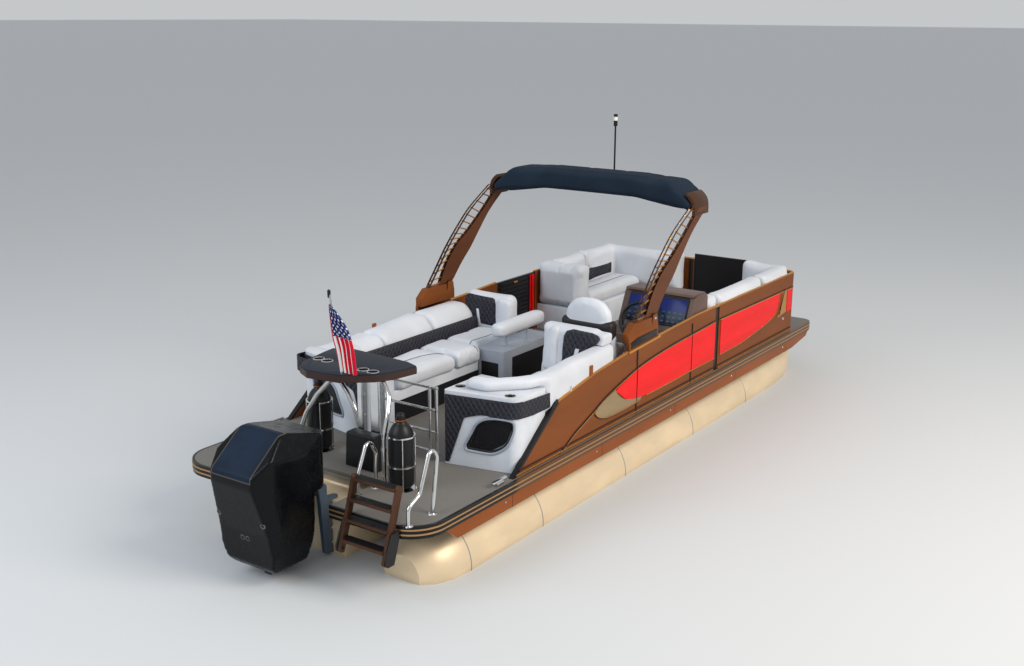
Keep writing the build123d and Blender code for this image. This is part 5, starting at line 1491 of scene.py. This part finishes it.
    def chaise(self) -> None:
        """The starboard chaise, which faces aft, and the roll beside it."""
        pad = self.shop.pad
        seams = [Seam([(1.80, across), (2.68, across)]) for across in (-0.66, -0.94)]
        pad(Shape.of("chaise_seat"), "chaise_seat_cushion", WHITE_VINYL, ["chaise_seat"], 0.045, seams=seams)
        pad(Shape.of("chaise_back"), "chaise_back_frame", WHITE_VINYL, ["chaise_back"], 0.06)
        pad(self.leaning(self.chaise_quilt, -0.030, 0.045), "chaise_back_quilt", QUILT_AFT, (), 0.014, 0.006)
        pad(self.leaning(self.chaise_wing, -0.048, 0.07), "chaise_back_wing", WHITE_VINYL, (), 0.03, 0.012)
        stripe = self.leaning(self.chaise_stripe, -0.046, 0.03)
        stripe.bevel(0.006, 2)
        stripe.become("chaise_back_stripe", WHITE_VINYL)
        pad(Shape.of("side_bolster"), "chaise_roll", WHITE_VINYL, ["side_bolster"], 0.035, 0.015)

    def bow(self) -> None:
        """The bow lounges' seats and backs, a pair each side."""
        pad = self.shop.pad
        for side_name, hand, end_aft in (("starboard", -1, 4.78), ("port", 1, 5.30)):
            low, top = span(hand, 0.1, 2.0)
            seat = Shape.of("bow_lounge_seats").between(low, top, 1)
            pad(seat, "bow_seat_" + side_name, WHITE_VINYL, ["bow_lounge_seats"], 0.045,
                seams=[Seam([(5.6, hand * 0.82), (6.9, hand * 0.82)])])
            corner = end_aft + 0.24
            for part, start, end in (
                ("end", end_aft - 0.02, corner), ("side_aft", corner, 6.15), ("side_fore", 6.15, 7.1),
            ):
                back = Shape.of("bow_lounge_backs").between(low, top, 1)
                back.between(aft(start) + self.part, aft(end) - self.part)
                pad(back, f"bow_back_{side_name}_{part}", WHITE_VINYL, ["bow_lounge_backs"], 0.055)
            quilt = Shape()
            near, far = span(hand, 1.05, 1.035)
            quilt.box(end_aft + 0.26, 6.74, near, far, 0.44, 0.60)
            pad(quilt, "bow_quilt_" + side_name, QUILT_SIDE, (), 0.005, 0.004, fine=0.012)

    def build(self) -> None:
        """Make every seat."""
        self.bases()
        self.port()
        self.chaise()
        self.bow()


@dataclass
class Helm:
    """The console with its screens, wheel and switches, and the chair."""

    shop: Upholstery
    chair_x: float = 3.33
    chair_y: float = -0.82
    # the screens' slope: distance from the stern and height of its foot and top
    screen_foot: Row = (4.353, 0.581)
    screen_top: Row = (4.466, 0.829)
    screen_middles: Sequence[float] = (-1.01, -0.65)
    # half the chair's width, height above the deck, of one side of its back
    back_edge: Sequence[Row] = ((0.255, 0.46), (0.262, 0.82), (0.235, 0.98), (0.15, 1.07), (0.05, 1.092))
    # distance forward of the chair's middle, height above the deck
    wing: Sequence[Row] = (
        (-0.27, 0.46), (-0.05, 0.46), (0.02, 0.62), (-0.14, 0.68), (-0.20, 0.82), (-0.28, 0.84),
    )

    def console(self) -> None:
        """The console's shell, hood, screens and switch rows."""
        Shape.of("helm_console", 0.014).become("console_shell_moulding", CONSOLE_BROWN, ["helm_console"])
        Shape.of("helm_screens", 0.003, 2).become("console_screens", SCREEN, ["helm_screens"])
        trim = Shape()
        for middle in self.screen_middles:
            low, top = (spot(row[0], middle, row[1]) for row in (self.screen_foot, self.screen_top))
            for side in (-0.146, 0.146):
                move = Vector((0.0, side, 0.0))
                trim.rod([low + move, top + move], 0.012, 0.0, 8)
            for end in (low, top):
                move = Vector((0.0, 0.15, 0.0))
                trim.rod([end - move, end + move], 0.014, 0.0, 8)
        trim.become("screen_surrounds", BLACK_MOULDING)
        knobs = Shape()
        for number in range(6):
            knobs.lathe([(0.0, 0.014), (0.011, 0.012), (0.013, 0.0)],
                        spot(4.262, -1.14 + number * 0.05, 0.485), Vector((-0.4, 0.0, 1.0)), 16)
        knobs.rod([spot(4.26, -0.52, 0.47), spot(4.25, -0.52, 0.55), spot(4.33, -0.52, 0.64)], 0.012, 0.04)
        knobs.become("console_switches", BLACK_MOULDING)
        shade = Shape()
        shade.side([(4.44, 0.866), (4.47, 0.885), (4.74, 0.876), (4.74, 0.866)], -1.2, -0.44)
        shade.bevel(0.006, 2)
        shade.become("console_hood", CONSOLE_BROWN)
        dress(BLACK_MOULDING, "helm_wheel")

    def chair(self) -> None:
        """The helm chair's seat, wrapped back, dark bands and arms."""
        x, y = self.chair_x, self.chair_y

        def slab(rows: Sequence[Row], start: float, end: float) -> Shape:
            """An upright slab of the chair, from half its width at each height on the way up."""
            made = Shape()
            outline = [(y - half, height) for half, height in rows]
            outline += [(y + half, height) for half, height in rows[::-1]]
            made.front(outline, x + start, x + end)
            return made

        def pad(shape: Shape, name: str, *cover: object) -> None:
            """Upholster one piece of the chair."""
            self.shop.pad(shape, "helm_chair_" + name, *cover, body="helm_chair")

        seat = Shape()
        seat.plan([(x - 0.13, y - 0.25), (x + 0.22, y - 0.23), (x + 0.22, y + 0.23), (x - 0.13, y + 0.25)],
                  0.37, 0.475)
        pad(seat, "seat", WHITE_VINYL, ["helm_chair"], 0.05, 0.012)
        pad(slab(self.back_edge, -0.29, -0.19), "back", WHITE_VINYL, ["helm_chair"], 0.045, 0.012)
        pad(slab([(0.27, 0.70), (0.274, 0.885)], -0.308, -0.172), "band", BAND_VINYL, (), 0.03, 0.004)
        pad(slab([(0.15, 0.49), (0.16, 0.73)], -0.20, -0.165), "quilt", QUILT_AFT, (), 0.014, 0.006)
        for number, hand in enumerate(HANDS):
            wing = Shape()
            near, far = sorted((y + hand * 0.185, y + hand * 0.262))
            wing.side([(x + ahead, height) for ahead, height in self.wing], near, far)
            pad(wing, f"wing_{number}", WHITE_VINYL, ["helm_chair"], 0.03, 0.01)
        pan = Shape()
        pan.box(x - 0.15, x + 0.18, y - 0.2, y + 0.2, 0.342, 0.375)
        pan.bevel(0.01, 2)
        pan.become("helm_chair_pan", BLACK_MOULDING, (), "helm_chair")
        dress(CHROME, "helm_pedestal")

    def build(self) -> None:
        """Make the helm."""
        self.console()
        self.chair()


@dataclass
class Arch:
    """The folding arch: two blades with a laddered strip behind each, the crown and the canvas boot."""

    shop: Upholstery
    out: float = 1.224
    thick: float = 0.036
    # distance from the stern and height of each edge
    blade_aft: Sequence[Row] = (
        (3.42, 0.87), (3.56, 1.09), (3.734, 1.256), (3.915, 1.365), (4.14, 1.52), (4.40, 1.725),
        (4.46, 1.775),
    )
    blade_fore: Sequence[Row] = (
        (3.64, 0.87), (3.80, 1.04), (3.965, 1.185), (4.11, 1.34), (4.31, 1.54), (4.56, 1.72), (4.63, 1.775),
    )
    strip_aft: Sequence[Row] = (
        (3.235, 0.87), (3.40, 1.06), (3.56, 1.245), (3.74, 1.415), (3.965, 1.60), (4.25, 1.765), (4.33, 1.81),
    )
    lug: Sequence[Row] = (
        (3.54, 0.89), (3.55, 0.82), (3.56, 0.808), (3.62, 0.808), (3.63, 0.82), (3.64, 0.89),
    )
    sole: Sequence[Row] = ((3.12, 0.645), (3.62, 0.672), (3.62, 0.735), (3.25, 0.728), (3.12, 0.70))
    strip_wide: float = 0.038
    # distance from the middle, height above the deck
    elbow: Sequence[Row] = ((1.224, 1.70), (1.222, 1.79), (1.205, 1.85), (1.17, 1.893), (1.135, 1.92))
    crown: Sequence[Row] = ((1.19, 1.74), (1.12, 1.79), (0.95, 1.83), (0.5, 1.845), (0.0, 1.85))
    boot_seams: Sequence[float] = (-0.98, -0.74, -0.3, 0.12, 0.55, 0.97)

    def strip(self, aft_rows: Sequence[Row], fore_rows: Sequence[Row], hand: int) -> Shape:
        """Fill one side's leg between two edges with short flat runs."""
        shape = Shape()
        near, far = span(hand, self.out, self.out - self.thick)
        pairs = list(zip(aft_rows, fore_rows))
        for (first, second), (third, fourth) in zip(pairs[:-1], pairs[1:]):
            shape.side([first, second, fourth, third], near, far)
        bmesh.ops.remove_doubles(shape.bm, verts=shape.bm.verts, dist=1e-5)
        inner = []
        for face in shape.bm.faces:
            through = [edge for edge in face.edges if abs(edge.verts[0].co.y - edge.verts[1].co.y) > 0.01]
            if through and all(len(edge.link_faces) > 2 for edge in through):
                inner.append(face)
        bmesh.ops.delete(shape.bm, geom=inner, context="FACES_ONLY")
        return shape

    def frame(self) -> None:
        """The blades, strips, rungs, elbows, crown and lugs."""
        blades = Shape()
        strips = Shape()
        rungs = Shape()
        elbows = Shape()
        steps = 5
        bend = smooth_rows(self.elbow, 3)
        inner = [(across - 0.03, height - 0.024) for across, height in bend]
        inner[0] = (self.out - self.thick, self.elbow[0][1])
        for hand in HANDS:
            leg = self.strip(smooth_rows(self.blade_aft, steps), smooth_rows(self.blade_fore, steps), hand)
            leg.side(self.lug, *span(hand, self.out, self.out - self.thick))
            leg.bevel(0.007, 2, 50.0)
            blades.take(leg)
            edge = smooth_rows(self.strip_aft, steps)
            ladder = self.strip(edge, [(place + self.strip_wide, height) for place, height in edge], hand)
            ladder.bevel(0.005, 2, 50.0)
            strips.take(ladder)
            y = hand * (self.out - 0.018)
            low_ends = smooth_rows(self.strip_aft, 3)[:-3]
            high_ends = smooth_rows(self.blade_aft, 3)[:-3]
            for (place, height), (ahead, above) in zip(low_ends, high_ends):
                ends = [spot(place + 0.02, y, height + 0.008), spot(ahead + 0.012, y, above + 0.012)]
                rungs.rod(ends, 0.0075, 0.0, 8)
            cap = Shape()
            cap.front([(hand * across, height) for across, height in bend + inner[::-1]], 4.36, 4.66)
            cap.bevel(0.008, 2, 50.0)
            elbows.take(cap)
        crown = Shape()
        arc = smooth_rows(self.crown, 3)
        path = [spot(4.56, y, z) for y, z in arc] + [spot(4.56, -y, z) for y, z in arc[::-1][1:]]
        crown.rod(path, 0.017, 0.0, 10)
        for shape, name, finish, nodes in (
            (elbows, "elbows", BRONZE_DARK, ()), (blades, "blades", BLADE_BRONZE, ["arch_frame"]),
            (strips, "strips", BRONZE_DARK, ["arch_frame"]), (rungs, "rungs", COPPER_BRIGHT, ()),
            (crown, "crown", BRONZE_DARK, ()),
        ):
            shape.become("arch_" + name, finish, nodes, "arch")

    def feet(self) -> None:
        """The feet on the fence, with bolt heads on the hinge."""
        Shape.of("arch_feet", 0.005, 2, 50.0).become("arch_foot_plates", COPPER, ["arch_feet"])
        soles = Shape()
        bolts = Shape()
        for hand in HANDS:
            soles.side(self.sole, *span(hand, 1.2175, 1.252))
            bolts.lathe([(0.0, 0.008), (0.012, 0.007), (0.016, 0.0)], spot(3.59, hand * 1.2438, 0.845),
                        sideways(hand), 6)
        soles.bevel(0.004, 2)
        soles.become("arch_foot_mounts", BLACK_TRIM)
        bolts.become("arch_bolt_heads", CHROME)

    def boot(self) -> None:
        """The canvas boot over the folded canopy, with its seams, and the light on its pole."""
        seams = [
            Seam([(4.34, across), (4.56, across + 0.02), (4.78, across)], 0.006, 0.02, False)
            for across in self.boot_seams
        ]
        self.shop.pad(Shape.of("canopy_boot"), "canopy_boot_cover", BOOT_CANVAS, ["canopy_boot"], 0.05, 0.02,
                      0.5, seams, 0.022, "arch")
        dress(BLACK_TRIM, "light_pole")
        lens = Shape()
        lens.lathe([(0.0, 0.05), (0.018, 0.045), (0.021, 0.02), (0.0205, -0.01)],
                   spot(4.70, -0.12, 2.545), UP, 24)
        lens.become("light_lens", WHITE_LENS, (), "arch")

    def build(self) -> None:
        """Make the arch."""
        self.frame()
        self.feet()
        self.boot()


@dataclass
class TowTable:
    """The stern table on its tubes, with its cup rings, bin and fenders."""

    # every table here: distance from the stern, distance to port
    edge: Sequence[Row] = (
        (0.45, 0.20), (0.52, 0.34), (0.62, 0.395), (0.915, 0.453), (1.045, 0.47), (1.13, 0.30),
        (1.10, -0.305), (1.05, -0.435), (0.81, -0.39), (0.68, -0.315), (0.50, -0.10),
    )
    cups: Sequence[Row] = ((0.745, 0.345), (0.738, 0.245), (0.719, -0.16), (0.718, -0.262))
    clamps: Sequence[Row] = ((0.555, -0.5), (0.70, 0.632), (0.9, 0.05))
    fenders: Sequence[Row] = ((0.865, 0.475), (0.59, -0.648))
    board_top: float = 0.85
    # radius, height above the deck
    fender: Sequence[Row] = (
        (0.0, 0.004), (0.055, 0.008), (0.088, 0.03), (0.099, 0.08), (0.099, 0.40), (0.092, 0.47),
        (0.066, 0.52), (0.040, 0.55), (0.034, 0.60), (0.022, 0.618), (0.0, 0.62),
    )

    def build(self) -> None:
        """Make the table and what stands round it."""
        Shape.of("table_board", 0.010, 3, 50.0).become("table_top", BOARD_NAVY, ["table_board"])
        band = Shape()
        count = len(self.edge)
        middle = [sum(row[number] for row in self.edge) / count for number in (0, 1)]
        outer = [tuple(m + (at - m) * 1.006 for m, at in zip(middle, row)) for row in self.edge]
        band.plan(outer, 0.784, 0.838)
        band.become("table_edge_band", BOARD_EDGE)
        rings = Shape()
        liners = Shape()
        for cup in self.cups:
            centre = spot(*cup, self.board_top)
            rings.lathe([(0.040, -0.004), (0.041, 0.003), (0.047, 0.003), (0.05, 0.0)], centre)
            liners.lathe([(0.0408, 0.0), (0.0408, -0.047), (0.0, -0.0475)], centre)
        rings.become("table_cup_rings", CHROME)
        liners.become("table_cup_liners", BLACK_MOULDING)
        dress(CHROME, "tow_tower", "flag_pole", "fender_racks")
        clamps = Shape()
        for clamp in self.clamps:
            clamps.lathe([(0.020, 0.012), (0.04, 0.01), (0.048, 0.0)], spot(*clamp, 0.0))
        clamps.lathe([(0.020, 0.02), (0.024, 0.018), (0.024, -0.018), (0.020, -0.02)],
                     spot(*self.clamps[0], 0.3), UP, 24)
        clamps.become("tower_clamps", CHROME)
        Shape.of("stern_bin", 0.012).become("stern_bin_moulding", BLACK_MOULDING, ["stern_bin"])
        bodies = Shape()
        necks = Shape()
        for fender in self.fenders:
            bodies.lathe(smooth_rows(self.fender, 3), spot(*fender, 0.0), UP, 40)
            for height in (0.535, 0.565):
                necks.lathe([(0.044, -0.006), (0.05, 0.0), (0.044, 0.006)], spot(*fender, height), UP, 28)
        bodies.become("fender_bodies", RUBBER, ["fenders"])
        necks.become("fender_neck_rings", BRASS_LENS)


@dataclass
class Flag:
    """A cloth flag that hangs in folds from its pole."""

    pole: float = 0.54
    pole_radius: float = 0.009
    # the cloth hangs this far aft of the pole's skin
    hang: float = 0.016
    cut: tuple[float, float] = (0.30, 0.60)
    # height above the deck, starboard edge and port edge of the hanging cloth
    rows: Sequence[Row] = (
        (1.405, -0.040, -0.002), (1.345, -0.104, 0.0), (1.245, -0.188, -0.010), (1.162, -0.226, -0.024),
        (1.095, -0.250, -0.040), (1.039, -0.258, -0.055), (0.95, -0.265, -0.076), (0.88, -0.268, -0.092),
    )
    folds: int = 4
    across: int = 60
    down: int = 90

    def build(self) -> None:
        """Hang the cloth and map its stripes."""
        cloth = Shape()
        bmesh.ops.create_grid(
            cloth.bm, x_segments=self.across, y_segments=self.down, size=0.5, calc_uvs=False
        )
        flat = cloth.bm.loops.layers.uv.new("cut")
        places = smooth_rows(self.rows, 15)
        for face in cloth.bm.faces:
            for loop in face.loops:
                loop[flat].uv = (loop.vert.co.x + 0.5, 0.5 - loop.vert.co.y)
        middle = aft(self.pole - self.pole_radius - self.hang)
        for vert in cloth.bm.verts:
            share = vert.co.x + 0.5
            fall = (0.5 - vert.co.y) * (len(places) - 1)
            low = min(int(fall), len(places) - 2)
            height, near, far = (a + (b - a) * (fall - low) for a, b in zip(places[low], places[low + 1]))
            turn = share * math.tau * self.folds
            swing = math.sin(turn + fall * 0.012) * 0.009 * min(1.0, fall / 30.0 + 0.2)
            ripple = math.sin(fall * 0.09 + share * 5.0) * 0.003
            slack = math.sin(turn * 2.0) * 0.0018
            side = far + (near - far) * share + slack
            vert.co = (middle + swing + ripple, side, high(height - 0.012 * share))
        piece = cloth.become("flag_sheet", FLAG_CLOTH, ["flag"], smooth=180.0)
        wall = piece.modifiers.new("cloth", "SOLIDIFY")
        wall.thickness = 0.001
        finial = Shape()
        finial.lathe([(0.0, 0.016), (0.010, 0.012), (0.014, 0.0), (0.012, -0.05), (0.0, -0.054)],
                     spot(self.pole, 0.013, 1.498), UP, 20)
        finial.become("flag_finial", BLACK_MOULDING)

    def area(self, piece: bpy.types.Object) -> float:
        """The cloth's area, as its mesh has it."""
        return sum(polygon.area for polygon in piece.data.polygons)


@dataclass
class Outboard:
    """The outboard motor: cowl with its slots and vents, brackets, leg and propeller."""

    # a slot in the cowl's shoulder: distance from the stern, distance from the middle, height above the deck
    slot: Sequence[Row] = (
        (-0.300, 0.150, 0.548), (-0.330, 0.178, 0.524), (-0.535, 0.158, 0.357), (-0.530, 0.122, 0.361),
    )
    vents: Sequence[Row] = ((-0.495, 0.232, -0.039), (-0.458, 0.026, -0.202))

    def cowl(self) -> None:
        """The rounded cowl, its slots and its vents."""
        piece = Shape.of("cowl", 0.022, 3, 24.0).become("cowl_shell", COWL_BLACK, ["cowl"], "outboard")
        even_out(piece, 0.011, 6)
        rims = Shape()
        throats = Shape()
        vents = Shape()
        for hand in HANDS:
            path = [spot(x, hand * y, z) for x, y, z in self.slot]
            rims.rod([*path, path[0], path[1]], 0.007, 0.02, 8)
            throats.prism(path, (-0.004, 0.0, 0.006))
            for place, across, height in self.vents:
                facing = Vector((-0.98, hand * across * 0.4, -0.18))
                vents.lathe([(0.008, -0.002), (0.012, 0.003), (0.020, 0.006), (0.026, 0.0)],
                            spot(place, hand * across, height), facing, 24)
        rims.become("cowl_slot_rims", BRONZE_DARK, (), "outboard", slot="engine_paint")
        throats.become("cowl_slots", BLACK_MOULDING, (), "outboard", slot="engine_paint")
        vents.become("cowl_vents", CAST, (), "outboard")

    def build(self) -> None:
        """Make the motor."""
        self.cowl()
        for node, body, finish, width in (
            ("clamp_bracket", "boat", BRACKET_GREY, 0.008),
            ("swivel_bracket", "outboard_tilt_bracket", BRACKET_GREY, 0.008),
            ("drive_leg", "outboard", LEG_BLACK, 0.005),
        ):
            Shape.of(node, width, 2, 40.0).become(node + "_casting", finish, [node], body)
        dress(CAST, "engine_block")
        dress(PROP, "propeller")
        bolts = Shape()
        for hand in HANDS:
            for height in (-0.22, -0.34, -0.46):
                bolts.lathe([(0.0, 0.01), (0.014, 0.009), (0.018, 0.0)], spot(0.285, hand * 0.1755, height),
                            sideways(hand), 6)
        bolts.become("bracket_bolts", CHROME)


@dataclass
class Ladder:
    """The boarding ladder's finish and its ribbed treads."""

    foot_x: float = -0.117
    foot_z: float = -0.235
    lean: float = 72.0
    length: float = 0.56
    count: int = 4
    ribs: int = 5
    rib_step: float = 0.016

    def build(self) -> None:
        """Dress the ladder and lay the tread pads."""
        Shape.of("ladder", 0.004, 2, 50.0).become("ladder_rails", BRONZE_DARK, ["ladder"], "boarding_ladder")
        pads = Shape()
        turn = math.radians(self.lean)
        for number in range(self.count):
            along = 0.07 + number * (self.length - 0.1) / (self.count - 1)
            z = self.foot_z + math.sin(turn) * along
            for rib in range(self.ribs):
                x = self.foot_x + math.cos(turn) * along - 0.036 + rib * self.rib_step
                pads.box(x, x + 0.010, -1.05, -0.68, z + 0.012, z + 0.0155)
        pads.become("ladder_tread_ribs", BLACK_MOULDING, (), "boarding_ladder")


@dataclass
class BowLights:
    """Navigation lights at the deck's bow corners."""

    distance: float = 7.4
    side: float = 1.05

    def build(self) -> None:
        """Set one light each side."""
        for name, hand, finish in (("green_bow_light", -1, GREEN_LENS), ("red_bow_light", 1, RED_LENS)):
            light = Shape()
            light.lathe([(0.0, 0.03), (0.014, 0.026), (0.02, 0.012), (0.022, 0.0)],
                        spot(self.distance, hand * self.side, 0.0), UP, 20)
            light.become(name, finish)


def main() -> None:
    """Build every part of the picture in order."""
    bpy.context.scene.view_settings.view_transform = "Standard"
    Studio().build()
    shop = Upholstery()
    for part in (
        Hull(), Deck(), Fence(), SternShells(), Lounges(shop), Helm(shop), Arch(shop), TowTable(), Flag(),
        Ladder(), Outboard(), BowLights(),
    ):
        LOG.info("building %s", type(part).__name__)
        part.build()
    shop.finish()


if __name__ == "__main__":
    main()
